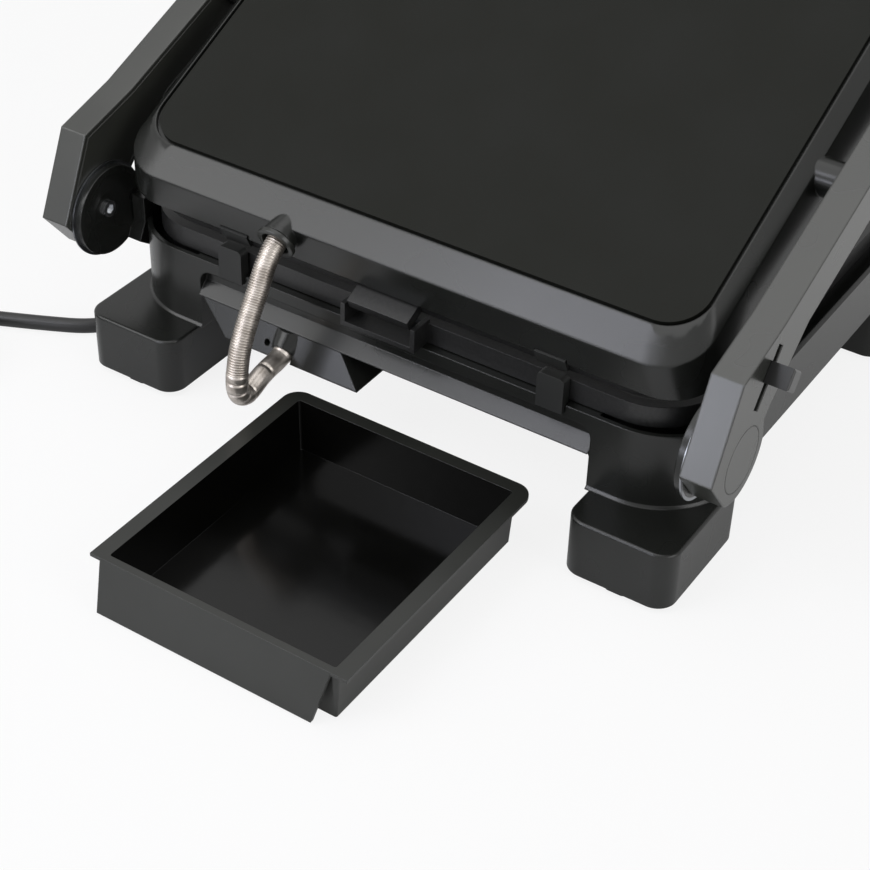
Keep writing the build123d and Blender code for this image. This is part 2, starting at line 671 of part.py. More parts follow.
def heater_pan(middle):
    """A sheet pan that holds the heating tube up against the plate."""
    floor = -2 * HEATER_RADIUS
    half, reach = HEATER_SPAN + PAN_MARGIN, HEATER_REACH + PAN_MARGIN
    pan = slab(-half, half, middle - reach, middle + reach, floor - PAN_THICK, 0, PAN_CORNER)
    half, reach = half - PAN_THICK, reach - PAN_THICK
    pan -= slab(-half, half, middle - reach, middle + reach, floor, 1, PAN_CORNER - PAN_THICK)
    for x in (-HEATER_GAP, HEATER_GAP):
        pan -= post(x, middle + HEATER_REACH, floor - 2, floor + 1, HEATER_RADIUS + 2.7)
    return pan


def make_lower_plate():
    """Lower grill plate with its spout, heater, pan and clips."""
    back, front = PLATE_BACK, PLATE_FRONT
    plate = Pos(0, 0, PLATE_TOP) * plate_casting(PLATE_HALF, front, back, PLATE_RIM_TALL)
    low = COLLAR_TOP + SPOUT_UNDER
    floor = low + SPOUT_WALL
    inner = SPOUT_HALF - SPOUT_WALL
    plate += block(-SPOUT_HALF, SPOUT_HALF, back - 1.5, SPOUT_END, low, low + SPOUT_TALL)
    plate -= block(-inner, inner, back - PLATE_RIM - 1.5, SPOUT_END + 1, floor, low + SPOUT_TALL + 1)
    keep("lower_plate", plate)
    middle = (front + PLATE_STEP_FRONT + back - PLATE_STEP) / 2
    under = Pos(0, 0, PLATE_TOP - PLATE_POCKET - PLATE_SKIN)
    keep("lower_heater", under * heater_loop(middle))
    keep("lower_reflector", under * heater_pan(middle))
    clips = []
    for x in (-CLIP_SPREAD, CLIP_SPREAD):
        clip = block(x - CLIP_WIDTH / 2, x + CLIP_WIDTH / 2, CLIP_START, CLIP_START + CLIP_THICK,
                     CLIP_LOW, CLIP_HIGH)
        clips.append(fillet(clip.edges().filter_by(Axis.Y).sort_by(Axis.Z)[-2:], CLIP_ROUND))
    keep("lower_plate_clips", *clips)


def turned_over(shape, height):
    """A piece drawn with its working face up at zero, put face down at a height over the hinge."""
    return opened(Pos(0, 0, HINGE_HEIGHT + height) * mirror(shape, about=Plane.XY))


def make_upper_plate():
    """Upper grill plate with its hood, heater, pan and clips."""
    half = PLATE_HALF - UPPER_SET_IN
    back, front = PLATE_BACK - UPPER_SET_IN, PLATE_FRONT + UPPER_SET_IN
    plate = plate_casting(half, front, back, UPPER_RIM_TALL)
    plate += block(-HOOD_HALF, HOOD_HALF, back - 1, back + HOOD_REACH, -HOOD_TALL, 0)
    keep("upper_plate", turned_over(plate, UPPER_LOW))
    middle = (front + PLATE_STEP_FRONT + back - PLATE_STEP) / 2
    height = UPPER_LOW + PLATE_POCKET + PLATE_SKIN
    keep("upper_heater", turned_over(heater_loop(middle), height))
    keep("upper_reflector", turned_over(heater_pan(middle), height))
    clips = []
    for x in (-UPPER_CLIP_SPREAD, UPPER_CLIP_SPREAD):
        half = UPPER_CLIP_WIDTH / 2
        clips.append(opened(block(x - half, x + half, back, HINGE_Y + UPPER_CLIP_REAR,
                                  HINGE_HEIGHT + UPPER_CLIP_LOW, HINGE_HEIGHT + UPPER_CLIP_HIGH)))
    keep("upper_plate_clips", *clips)


def button_hole(face, height):
    """The opening for a release button in a front wall."""
    half, tall = BUTTON_HALF + BUTTON_FIT, BUTTON_TALL / 2 + BUTTON_FIT
    return block(BUTTON_X - half, BUTTON_X + half, face - 1, face + 3 * WALL,
                 height - tall, height + tall)


def spring_stands(face, height, back):
    """Two stands on the wall that carry the ends of a button's strip spring."""
    stands = []
    for side in (-1, 1):
        x0, x1 = BUTTON_X + side * (SPRING_HALF - 3), BUTTON_X + side * SPRING_HALF
        stands.append(block(x0, x1, face + WALL - 1, face + back + BUTTON_FLANGE,
                            height - SPRING_TALL / 2, height + SPRING_TALL / 2))
    return stands


def button(face, height, back):
    """A release button with a flange behind the wall and a nose that works the plate's catch."""
    x, tall = BUTTON_X, BUTTON_TALL / 2
    cap = block(x - BUTTON_HALF, x + BUTTON_HALF, face - BUTTON_PROUD, face + back,
                height - tall, height + tall)
    cap = fillet(cap.edges().filter_by(Axis.Y), 2.0)
    wide, high = BUTTON_HALF + BUTTON_STOP, tall + BUTTON_STOP_TALL
    return cap + block(x - wide, x + wide, face + back, face + back + BUTTON_FLANGE,
                       height - high, height + high)


def spring_strip(face, height, back):
    """The strip spring behind a release button."""
    start = face + back + BUTTON_FLANGE
    return block(BUTTON_X - SPRING_HALF, BUTTON_X + SPRING_HALF, start, start + SPRING_STRIP,
                 height - SPRING_TALL / 2, height + SPRING_TALL / 2)


def make_buttons():
    """The two buttons that release the grill plates, and their springs."""
    keep("lower_release_button", button(BODY_FRONT, LOWER_BUTTON_Z, LOWER_BUTTON_BACK))
    keep("lower_button_spring", spring_strip(BODY_FRONT, LOWER_BUTTON_Z, LOWER_BUTTON_BACK))
    face, height = HINGE_Y + LID_FRONT, HINGE_HEIGHT + UPPER_BUTTON_U
    keep("upper_release_button", opened(button(face, height, UPPER_BUTTON_BACK)))
    keep("upper_button_spring", opened(spring_strip(face, height, UPPER_BUTTON_BACK)))


def make_controls():
    """Front panel, temperature knob, lamps and what they work inside the base."""
    gap = FIT
    face = BODY_FRONT + FASCIA_SINK - FASCIA_THICK
    panel = block(-FASCIA_HALF + gap, FASCIA_HALF - gap, face, BODY_FRONT + FASCIA_SINK,
                  FASCIA_LOW + gap, FASCIA_HIGH - gap)
    panel -= rod_y(0, face - 1, BODY_FRONT + 2 * WALL, DIAL_Z, SPINDLE_RADIUS + RUN)
    lamps = []
    for side in (-1, 1):
        x = side * LAMP_SPREAD
        panel -= rod_y(x, face - 1, BODY_FRONT + 2 * WALL, DIAL_Z, LAMP_RADIUS)
        lamps.append(rod_y(x, face - 1.2, BODY_FRONT + 2 * WALL + 2, DIAL_Z, LAMP_RADIUS))
    keep("control_panel", panel)
    keep("pilot_lamps", *lamps)

    knob = rod_y(0, face - DIAL_GAP - DIAL_DEPTH, face - DIAL_GAP, DIAL_Z, DIAL_RADIUS)
    knob = chamfer(knob.edges().filter_by(GeomType.CIRCLE).sort_by(Axis.Y)[0], 1.2)
    knob -= rod_y(0, face - DIAL_GAP - SPINDLE_SOCKET, face, DIAL_Z, SPINDLE_RADIUS)
    keep("temperature_knob", knob)
    width, depth, tall = THERMOSTAT
    keep("knob_spindle", rod_y(0, face - DIAL_GAP - SPINDLE_SOCKET, THERMOSTAT_Y - depth / 2 - FIT,
                               DIAL_Z, SPINDLE_RADIUS))
    floor = SKIRT_LOW + COVER_THICK
    keep("thermostat", block(-width / 2, width / 2, THERMOSTAT_Y - depth / 2, THERMOSTAT_Y + depth / 2,
                             floor, floor + tall))
    x, y = FUSE_PLACE
    keep("thermal_fuse", rod(x - FUSE_LENGTH / 2, x + FUSE_LENGTH / 2, y, floor + FUSE_RADIUS, FUSE_RADIUS))
    width, depth, tall = TERMINALS
    x, y = TERMINALS_PLACE
    strip = block(x - width / 2, x + width / 2, y - depth / 2, y + depth / 2, floor, floor + tall)
    for step in (-1, 0, 1):
        strip -= post(x + step * width / 3, y, floor + tall / 2, floor + tall + 1, 2.4)
    keep("terminal_block", strip)


def lid_layer(half, front, back, height, corner):
    """One level of the lid's shape, as a face in the closed position."""
    middle = HINGE_Y + (front + back) / 2
    return Pos(0, middle, HINGE_HEIGHT + height) * RectangleRounded(2 * half, back - front, corner)


def lid_outside():
    """The outside of the closed lid."""
    half, front, back, corner = LID_HALF, LID_FRONT, LID_REAR, LID_CORNER
    levels = [lid_layer(half, front, back, LID_LOW, corner)]
    half, front, back = half - SHOULDER_SIDE, front + SHOULDER_END, back - SHOULDER_END
    levels.append(lid_layer(half, front, back, LID_SHOULDER, corner - 1))
    half, front, back = half - CHAMFER_SIDE, front + CHAMFER_END, back - CHAMFER_END
    levels.append(lid_layer(half, front, back, LID_TOP, corner - 5))
    shape = loft(levels[:2], ruled=True) + loft(levels[1:], ruled=True)
    level = HINGE_HEIGHT + LID_SHOULDER
    shape = fillet(shape.edges().filter_by_position(Axis.Z, level - 0.1, level + 0.1), SHOULDER_ROUND)
    level = HINGE_HEIGHT + LID_LOW
    return fillet(shape.edges().filter_by_position(Axis.Z, level - 0.1, level + 0.1), EDGE_ROUND)


def lid_inside():
    """The hollow under the closed lid's roof."""
    wall = LID_WALL
    half, corner = LID_HALF - wall, LID_CORNER - wall
    front, back = LID_FRONT + wall, LID_REAR - wall
    levels = [lid_layer(half, front, back, LID_LOW, corner)]
    half, front, back = half - SHOULDER_SIDE + 0.3, front + SHOULDER_END + 0.4, back - SHOULDER_END - 0.4
    levels.append(lid_layer(half, front, back, LID_SHOULDER - 2, corner - 1))
    half, front, back = half - 2.8, front + 7.4, back - 7.4
    levels.append(lid_layer(half, front, back, LID_TOP - PANEL_THICK - wall, corner - 5))
    return loft(levels[:2], ruled=True) + loft(levels[1:], ruled=True)


def make_lid():
    """The lid's shell, its top panel, pivot pins and the hose's grommet."""
    shell = lid_outside()
    port_y = HINGE_Y + LID_PORT_END
    port_z = HINGE_HEIGHT + LID_PORT_U
    port = Cone(LID_PORT_TIP, LID_PORT_RADIUS, LID_PORT_END - LID_PORT_START, rotation=(-90, 0, 0))
    shell += Pos(HOSE_X, HINGE_Y + (LID_PORT_START + LID_PORT_END) / 2, port_z) * port
    shell -= lid_inside()
    low = HINGE_HEIGHT + UPPER_LOW + PLATE_TALL
    y0, y1 = HINGE_Y + LID_FRONT + 5, HINGE_Y + LID_REAR - 5
    ring = slab(-LID_HALF + 6.5, LID_HALF - 6.5, y0, y1, low, low + LEDGE_THICK, LID_CORNER - 3)
    ring -= slab(-LID_HALF + 22, LID_HALF - 22, y0 + 20, y1 - 16,
                 low - 1, low + LEDGE_THICK + 1, LID_CORNER - 10)
    shell += ring
    for side in (-1, 1):
        x0, x1 = side * (LID_HALF - 8), side * (ARM_INNER - 0.4)
        y, z = at_hinge(LID_PIVOT_R, LID_PIVOT_U)
        shell += rod(x0, x1, y, z, LID_BOSS_RADIUS)
        shell -= rod(x0 + side, x1 + side, y, z, LID_PIN_RADIUS)
    edge = PANEL_HALF - 0.6
    y0 = HINGE_Y + LID_FRONT + SHOULDER_END + CHAMFER_END
    y1 = HINGE_Y + LID_REAR - SHOULDER_END - CHAMFER_END
    top = HINGE_HEIGHT + LID_TOP
    shell -= slab(-edge, edge, y0 + 0.6, y1 - 0.6, top - PANEL_THICK, top + 1, LID_CORNER - 5.6)
    for x in (-UPPER_CLIP_SPREAD, UPPER_CLIP_SPREAD):
        half = UPPER_CLIP_WIDTH / 2 + CLIP_FIT
        shell -= block(x - half, x + half, HINGE_Y + LID_REAR - WALL - 1, HINGE_Y + LID_REAR + 1,
                       HINGE_HEIGHT + LID_LOW - 1, HINGE_HEIGHT + UPPER_CLIP_HIGH + CLIP_FIT)
    shell -= rod_y(HOSE_X, HINGE_Y + LID_PORT_START - 8, port_y + 1, port_z, HOSE_RADIUS + HOSE_BORE_FIT)
    shell -= button_hole(HINGE_Y + LID_FRONT, HINGE_HEIGHT + UPPER_BUTTON_U)
    shell += spring_stands(HINGE_Y + LID_FRONT, HINGE_HEIGHT + UPPER_BUTTON_U, UPPER_BUTTON_BACK)
    keep("lid_housing", opened(shell))

    half = PANEL_HALF - PANEL_GROOVE
    panel = slab(-half, half, y0 + PANEL_GROOVE, y1 - PANEL_GROOVE,
                 top - PANEL_THICK, top, PANEL_CORNER)
    keep("lid_top_panel", opened(panel))
    ring = rod_y(HOSE_X, port_y, port_y + GROMMET_THICK, port_z, GROMMET_RADIUS)
    ring = fillet(ring.edges().filter_by(GeomType.CIRCLE).sort_by(Axis.Y)[-1], 1.0)
    ring -= rod_y(HOSE_X, port_y - 1, port_y + GROMMET_THICK + 1, port_z, HOSE_RADIUS + HOSE_BORE_FIT)
    keep("hose_grommet", opened(ring))
    pins = []
    for side in (-1, 1):
        y, z = at_hinge(LID_PIVOT_R, LID_PIVOT_U)
        x = side * (LID_HALF - 7)
        pins.append(opened(rod(x, x + side * (LID_PIN_LENGTH - 0.6), y, z, LID_PIN_RADIUS)))
    keep("lid_pivot_pins", *pins)


def arm_face(inset):
    """Side view of an arm, at its inner face in the closed position."""
    corners = [(-19.0, -8.5), (-21.5, 1.4), (-29.6, 4.5), (-66.9, 14.6), (-ARM_REACH, -0.3),
               (-ARM_REACH, 22.5), (-47.7, 38.6), (-11.0, 44.6), (24.9, 14.7), (18.9, -11.2)]
    points = [(ARM_INNER, *at_hinge(r, u)) for r, u in corners]
    round_end = ThreePointArc(points[-1], (ARM_INNER, *at_hinge(0, -20.3)), points[0])
    face = make_face(Polyline(*points) + round_end)
    face = fillet(face.vertices().sort_by(Axis.Y)[:2], 4.0)
    if inset:
        face = offset(face, amount=-inset, kind=Kind.INTERSECTION)
    return face


def slot_piece(start, end, low, high, x0, x1):
    """A box in the direction of the release's slot; start and end are along it, low and high across it."""
    r0, u0 = SLOT_START
    r1, u1 = SLOT_END
    length = math.hypot(r1 - r0, u1 - u0)
    dr, du = (r1 - r0) / length, (u1 - u0) / length
    corners = []
    for along_it, across in ((start, low), (end, low), (end, high), (start, high)):
        corners.append(at_hinge(r0 + dr * along_it - du * across, u0 + du * along_it + dr * across))
    return sheet_x(corners, x0, x1)


def slot_length():
    """How long the release's slot is."""
    return math.hypot(SLOT_END[0] - SLOT_START[0], SLOT_END[1] - SLOT_START[1])


def make_arm(side, name):
    """One side arm, its inner cover and its pivot cap."""
    shell = extrude(arm_face(0), ARM_THICK, dir=(1, 0, 0))
    shell -= extrude(arm_face(ARM_WALL), ARM_THICK - ARM_WALL, dir=(1, 0, 0))
    inner, outer = ARM_INNER + ARM_COVER, ARM_OUTER - ARM_WALL
    cover = extrude(arm_face(ARM_WALL + 0.1), ARM_COVER, dir=(1, 0, 0))
    places = [(0.0, 0.0, BOLT_RADIUS + RUN, ARM_BOSS), (LID_PIVOT_R, LID_PIVOT_U, LID_PIN_RADIUS + RUN, 8.0),
              (GRIP_R, GRIP_U, ROD_RADIUS, 7.5)]
    for r, u, bore, boss in places:
        y, z = at_hinge(r, u)
        shell += rod(inner, outer, y, z, boss) - rod(inner - 1, outer, y, z, bore)
        cover -= rod(ARM_INNER - 1, inner + 1, y, z, bore)
    y, z = at_hinge(0, 0)
    shell -= rod(ARM_OUTER - CAP_THICK, ARM_OUTER + 1, y, z, CAP_RADIUS + CAP_GROOVE)
    cap = rod(ARM_OUTER - CAP_THICK, ARM_OUTER, y, z, CAP_RADIUS)
    if side < 0:
        shell -= slot_piece(0, slot_length(), -SLOT_HALF, SLOT_HALF, outer - 1, ARM_OUTER + 1)
        anchor = RELEASE_SHARE * slot_length() + RELEASE_FOOT / 2 + RELEASE_SPRING_LENGTH
        shell += slot_piece(anchor, anchor + 3, -3, 3, outer - 5, outer)
    pieces = {"arm_" + name: shell, "arm_cover_" + name: cover, "pivot_cap_" + name: cap}
    for node, piece in pieces.items():
        placed = mirror(piece, about=Plane.YZ) if side < 0 else piece
        keep(node, opened(placed))


def make_hinge(side, name):
    """One hinge disc with its ear, its bright ring and its bolt, all fixed to the base."""
    y, z = HINGE_Y, HINGE_HEIGHT
    disc = rod(DISC_INNER, DISC_OUTER, y, z, DISC_RADIUS)
    disc += sheet_x(ear_outline(0), DISC_INNER - WEB_THICK, DISC_INNER)
    dish = Cone(RECESS_RADIUS, RECESS_FLOOR, RECESS_DEPTH, rotation=(0, 90, 0))
    disc -= Pos(DISC_INNER + RECESS_DEPTH / 2, y, z) * dish
    disc -= rod(DISC_INNER, DISC_OUTER + 1, y, z, BOLT_RADIUS)
    ring = rod(DISC_OUTER - RING_THICK, DISC_OUTER, y, z, RING_RADIUS)
    ring -= rod(DISC_OUTER - RING_THICK - 1, DISC_OUTER + 1, y, z, DISC_RADIUS)
    seat = DISC_INNER + RECESS_DEPTH
    bolt = rod(seat - BOLT_HEAD_THICK, seat, y, z, BOLT_HEAD)
    bolt += rod(seat, seat + BOLT_LENGTH, y, z, BOLT_RADIUS)
    socket = Rot(0, 90, 0) * extrude(RegularPolygon(2.6, 6), 1.0, both=True)
    bolt -= Pos(seat - BOLT_HEAD_THICK + 0.5, y, z) * socket
    pieces = {"hinge_disc_" + name: disc, "hinge_ring_" + name: ring, "pivot_bolt_" + name: bolt}
    for node, piece in pieces.items():
        keep(node, mirror(piece, about=Plane.YZ) if side < 0 else piece)


def make_handle():
    """The grip across the front of the arms and the steel rod in it."""
    y, z = at_hinge(GRIP_R, GRIP_U)
    reach = ARM_INNER - GRIP_END_GAP
    grip = rod(-reach, reach, y, z, GRIP_RADIUS)
    grip = chamfer(grip.edges().filter_by(GeomType.CIRCLE), 0.8)
    grip -= rod(-reach - 1, reach + 1, y, z, ROD_RADIUS)
    keep("handle_grip", opened(grip))
    reach = ARM_OUTER - ARM_WALL
    keep("handle_rod", opened(rod(-reach, reach, y, z, ROD_RADIUS)))


def make_release():
    """The sliding release on the left arm, and its spring."""
    middle = RELEASE_SHARE * slot_length()
    half, inner = RELEASE_KNOB / 2, ARM_OUTER - ARM_WALL
    gap = RUN * 2
    knob = slot_piece(middle - half, middle + half, -half, half,
                      ARM_OUTER + gap, ARM_OUTER + RELEASE_REACH)
    knob = chamfer(knob.faces().sort_by(Axis.X)[-1].edges(), 0.8)
    neck = SLOT_HALF - SLOT_FIT
    knob += slot_piece(middle - 3, middle + 3, -neck, neck, inner - gap - 1, ARM_OUTER + gap + 1)
    foot = RELEASE_FOOT / 2
    knob += slot_piece(middle - foot, middle + foot, -4.5, 4.5,
                       inner - gap - RELEASE_FOOT_THICK, inner - gap)
    keep("release_lever", opened(mirror(knob, about=Plane.YZ)))
    x = inner - gap - RELEASE_SPRING_RADIUS
    ends = [Vector(x, *at_hinge(r, u)) for r, u in (SLOT_START, SLOT_END)]
    spring = along(*ends, middle + foot, RELEASE_SPRING_LENGTH, RELEASE_SPRING_RADIUS)
    keep("release_spring", opened(mirror(spring, about=Plane.YZ)))


def bend_radii(points):
    """The largest arc that each corner of a route has room for."""
    radii = []
    for before, here, after in zip(points, points[1:], points[2:]):
        first, second = here - before, after - here
        shorter = min(first.length, second.length)
        radii.append(0.45 * shorter / math.tan(math.radians(first.get_angle(second)) / 2))
    return radii


def tube(points, radius, name):
    """A round tube along a route, with its corners rounded as far as they have room."""
    radii = bend_radii(points)
    path = FilletPolyline(*points, radius=radii)
    start = Plane(origin=points[0], z_dir=points[1] - points[0])
    made = sweep(start * Circle(radius), path=path)
    print(name, "length", round(path.length, 1), "smallest bend", round(min(radii), 1))
    return made


def make_leads():
    """The steel hose between base and lid, and the mains lead with its coil and plug."""
    keep("steel_hose", tube(hose_points(), HOSE_RADIUS, "steel_hose"))
    keep("power_cord", tube([Vector(*p) for p in CORD_ROUTE], CORD_RADIUS, "power_cord"))
    keep("cord_tail", tube([Vector(*p) for p in TAIL_ROUTE], CORD_RADIUS, "cord_tail"))
    x, y = COIL_PLACE
    keep("cord_coil", post(x, y, 0, COIL_TALL, COIL_OUTER) - post(x, y, -1, COIL_TALL + 1, COIL_INNER))
    x, y, z = TAIL_ROUTE[-1]
    relief = Cone(PLUG_RELIEF_RADIUS, CORD_RADIUS + 0.6, PLUG_RELIEF, rotation=(90, 0, 0))
    plug = Pos(x, y + PLUG_RELIEF / 2, z) * relief
    y += PLUG_RELIEF
    shell = rod_y(x, y, y + PLUG_LENGTH, z, PLUG_RADIUS)
    plug += chamfer(shell.edges().filter_by(GeomType.CIRCLE).sort_by(Axis.Y)[0], 5.0)
    for side in (-1, 1):
        plug += rod_y(x + side * PIN_SPREAD, y + PLUG_LENGTH - 1, y + PLUG_LENGTH + PIN_LENGTH,
                      z, PIN_RADIUS)
    keep("mains_plug", plug)


def tray_level(grow, z, back, front):
    """The outline of the tray's walls at a height, as a face."""
    half = TRAY_HALF - TRAY_FLANGE + grow
    corner = max(TRAY_WALL_CORNER + grow, 1.0)
    return Pos(TRAY_MID, (back + front) / 2, z) * RectangleRounded(2 * half, front - back + 2 * grow, corner)


def make_tray():
    """The drip tray, drawn out behind the grill, and the rails that it runs on."""
    back, front = TRAY_BACK + TRAY_FLANGE_BACK, TRAY_FRONT - TRAY_RIM_FRONT
    lip = TRAY_HEIGHT - LIP_THICK
    levels = [tray_level(-TRAY_DRAFT, 0, back, front), tray_level(0, TRAY_HEIGHT, back, front)]
    body = loft(levels, ruled=True)
    x0, x1 = TRAY_LEFT, TRAY_RIGHT
    rim = block(x0, x1, TRAY_BACK, TRAY_FRONT, lip, TRAY_HEIGHT)
    body += fillet(rim.edges().filter_by(Axis.Z).sort_by(Axis.Y)[:2], TRAY_CORNER)
    flap = [(TRAY_FRONT - 3, TRAY_HEIGHT), (TRAY_FRONT, TRAY_HEIGHT), (TRAY_FRONT + PULL_OUT, PULL_LOW),
            (TRAY_FRONT + PULL_OUT - PULL_THICK, PULL_LOW), (TRAY_FRONT - PULL_THICK, lip)]
    reach = TRAY_FRONT + PULL_OUT + 1
    front_view = [(x0 + PULL_RIGHT_HIGH, TRAY_HEIGHT), (x0 + PULL_RIGHT_LOW, PULL_LOW),
                  (x1 - PULL_LEFT, PULL_LOW), (x1 - PULL_LEFT, TRAY_HEIGHT)]
    body += sheet_x(flap, x0, x1) & sheet_y(front_view, TRAY_FRONT - 3, reach)
    gusset = [(TRAY_FRONT - TRAY_GUSSET, lip), (TRAY_FRONT - 2, lip),
              (TRAY_FRONT + PULL_OUT - PULL_THICK, PULL_LOW)]
    for x in (x0 + PULL_RIGHT_LOW, x1 - PULL_LEFT - PULL_THICK):
        body += sheet_x(gusset, x, x + PULL_THICK)
    wall = TRAY_WALL
    body -= loft([tray_level(-TRAY_DRAFT - wall, TRAY_FLOOR, back, front),
                  tray_level(-wall, TRAY_HEIGHT, back, front)], ruled=True)
    keep("drip_tray", body)

    rails = []
    y1 = REAR - RAIL_START
    y0 = y1 - RAIL_LENGTH
    high = lip - RAIL_UNDER_GAP
    for side in (-1, 1):
        face = TRAY_MID + side * (TRAY_HALF + RAIL_SIDE_GAP)
        back_of_wall = face + side * RAIL_WALL
        rail = block(face, back_of_wall, y0, y1, high - RAIL_WALL, SKIRT_LOW)
        rail += block(face - side * (RAIL_SHELF + RAIL_SIDE_GAP), back_of_wall, y0, y1,
                      high - RAIL_WALL, high)
        rail += block(face, back_of_wall + side * RAIL_FLANGE, y0, y1, SKIRT_LOW - RAIL_WALL, SKIRT_LOW)
        rails.append(rail)
    keep("tray_rails", *rails)


make_base()
make_bottom_cover()
make_cable_block()
make_lower_plate()
make_upper_plate()
make_buttons()
make_controls()
make_lid()
for side_of_user, side_name in ((-1, "left"), (1, "right")):
    make_arm(side_of_user, side_name)
    make_hinge(side_of_user, side_name)
make_handle()
make_release()
make_leads()
make_tray()

os.makedirs("parts", exist_ok=True)
for node_name, node_shape in NODES.items():
    export_step(node_shape, "parts/" + node_name + ".step")
print(len(NODES), "nodes")
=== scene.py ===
import math
import bmesh
import bpy
from mathutils import Matrix, Vector


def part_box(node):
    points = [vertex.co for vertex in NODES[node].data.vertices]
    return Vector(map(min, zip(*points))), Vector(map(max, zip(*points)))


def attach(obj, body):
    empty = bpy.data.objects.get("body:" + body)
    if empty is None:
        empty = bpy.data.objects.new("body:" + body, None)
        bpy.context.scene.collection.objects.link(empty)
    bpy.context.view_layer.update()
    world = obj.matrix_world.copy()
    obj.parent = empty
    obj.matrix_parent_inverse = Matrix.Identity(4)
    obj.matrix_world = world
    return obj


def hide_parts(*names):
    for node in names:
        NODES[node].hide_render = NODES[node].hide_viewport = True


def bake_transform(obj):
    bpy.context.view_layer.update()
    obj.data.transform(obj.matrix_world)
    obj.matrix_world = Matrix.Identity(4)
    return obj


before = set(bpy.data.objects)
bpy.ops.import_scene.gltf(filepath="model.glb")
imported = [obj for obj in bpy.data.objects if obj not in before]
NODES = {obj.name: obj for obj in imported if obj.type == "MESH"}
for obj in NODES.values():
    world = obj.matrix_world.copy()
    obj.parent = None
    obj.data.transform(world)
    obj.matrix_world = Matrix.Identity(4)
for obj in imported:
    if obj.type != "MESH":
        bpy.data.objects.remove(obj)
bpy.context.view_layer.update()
MM = 0.001


# Colours and materials

PLASTIC_IOR = 1.5
EDGE_SAMPLES = 6
# Where the darker and the paler tone stand in the drift, and how far the roughness drifts with it
MOULDED_TONES_AT = (0.35, 0.70)
MOULDED_DRIFT = 0.03
METAL_TONES_AT = (0.30, 0.70)
METAL_DRIFT = 0.06


def hex_to_linear(text):
    """An sRGB colour such as #2b2c29, as the four linear values that a socket takes."""
    values = [int(text[i:i + 2], 16) / 255 for i in (1, 3, 5)]
    values = [v / 12.92 if v <= 0.04045 else ((v + 0.055) / 1.055) ** 2.4 for v in values]
    return (*values, 1.0)


def add_node(tree, kind, settings=None, values=None, links=None):
    """A node with its settings, the values of its sockets, and the sockets that feed it."""
    made = tree.nodes.new(kind)
    for name, value in (settings or {}).items():
        setattr(made, name, value)
    for name, value in (values or {}).items():
        made.inputs[name].default_value = value
    for name, socket in (links or {}).items():
        tree.links.new(socket, made.inputs[name])
    return made


def new_material(name):
    """An empty node material, with its output."""
    material = bpy.data.materials.new(name)
    material.use_nodes = True
    material.node_tree.nodes.clear()
    output = add_node(material.node_tree, "ShaderNodeOutputMaterial")
    return material, material.node_tree, output


def moulded(name, low, high, roughness, grain_mm, grain_depth, specular=0.5, cloud_mm=45.0,
            edge_mm=0.3, **extra):
    """A moulded surface: a drifting tone and roughness, a fine grain, and edges that look broken."""
    material, tree, output = new_material(name)
    place = add_node(tree, "ShaderNodeTexCoord")
    cloud = add_node(tree, "ShaderNodeTexNoise", values={"Scale": 1000 / cloud_mm, "Detail": 2.0},
                     links={"Vector": place.outputs["Object"]})
    grain = add_node(tree, "ShaderNodeTexNoise", values={"Scale": 1000 / grain_mm, "Detail": 1.0},
                     links={"Vector": place.outputs["Object"]})
    tone = add_node(tree, "ShaderNodeValToRGB", links={"Fac": cloud.outputs["Fac"]})
    for stop, position, colour in zip(tone.color_ramp.elements, MOULDED_TONES_AT, (low, high)):
        stop.position = position
        stop.color = hex_to_linear(colour)
    rough = add_node(tree, "ShaderNodeMapRange",
                     values={"To Min": roughness - MOULDED_DRIFT, "To Max": roughness + MOULDED_DRIFT},
                     links={"Value": cloud.outputs["Fac"]})
    edge = add_node(tree, "ShaderNodeBevel", {"samples": EDGE_SAMPLES}, {"Radius": edge_mm * MM})
    bump = add_node(tree, "ShaderNodeBump", values={"Strength": 1.0, "Distance": grain_depth * MM},
                    links={"Height": grain.outputs["Fac"], "Normal": edge.outputs["Normal"]})
    shader = add_node(tree, "ShaderNodeBsdfPrincipled",
                      values={"IOR": PLASTIC_IOR, "Specular IOR Level": specular, **extra},
                      links={"Base Color": tone.outputs["Color"], "Roughness": rough.outputs["Result"],
                             "Normal": bump.outputs["Normal"]})
    tree.links.new(shader.outputs["BSDF"], output.inputs["Surface"])
    return material


def metal(name, low, high, roughness, streak_mm, stretch=(1.0, 1.0, 1.0)):
    """A metal whose brightness and roughness drift, in streaks where it is drawn."""
    material, tree, output = new_material(name)
    place = add_node(tree, "ShaderNodeTexCoord")
    drawn = add_node(tree, "ShaderNodeMapping", values={"Scale": stretch},
                     links={"Vector": place.outputs["Object"]})
    streak = add_node(tree, "ShaderNodeTexNoise", values={"Scale": 1000 / streak_mm, "Detail": 3.0},
                      links={"Vector": drawn.outputs["Vector"]})
    tone = add_node(tree, "ShaderNodeValToRGB", links={"Fac": streak.outputs["Fac"]})
    for stop, position, colour in zip(tone.color_ramp.elements, METAL_TONES_AT, (low, high)):
        stop.position = position
        stop.color = hex_to_linear(colour)
    rough = add_node(tree, "ShaderNodeMapRange",
                     values={"To Min": roughness - METAL_DRIFT, "To Max": roughness + METAL_DRIFT},
                     links={"Value": streak.outputs["Fac"]})
    shader = add_node(tree, "ShaderNodeBsdfPrincipled", values={"Metallic": 1.0},
                      links={"Base Color": tone.outputs["Color"], "Roughness": rough.outputs["Result"]})
    tree.links.new(shader.outputs["BSDF"], output.inputs["Surface"])
    return material


# Spark-eroded ABS of base and lid: black with a satin skin that takes soft grey reflections
SATIN_ABS = moulded("satin_abs", "#181917", "#1d1e1c", 0.27, 0.7, 0.010, specular=0.42, edge_mm=0.9)
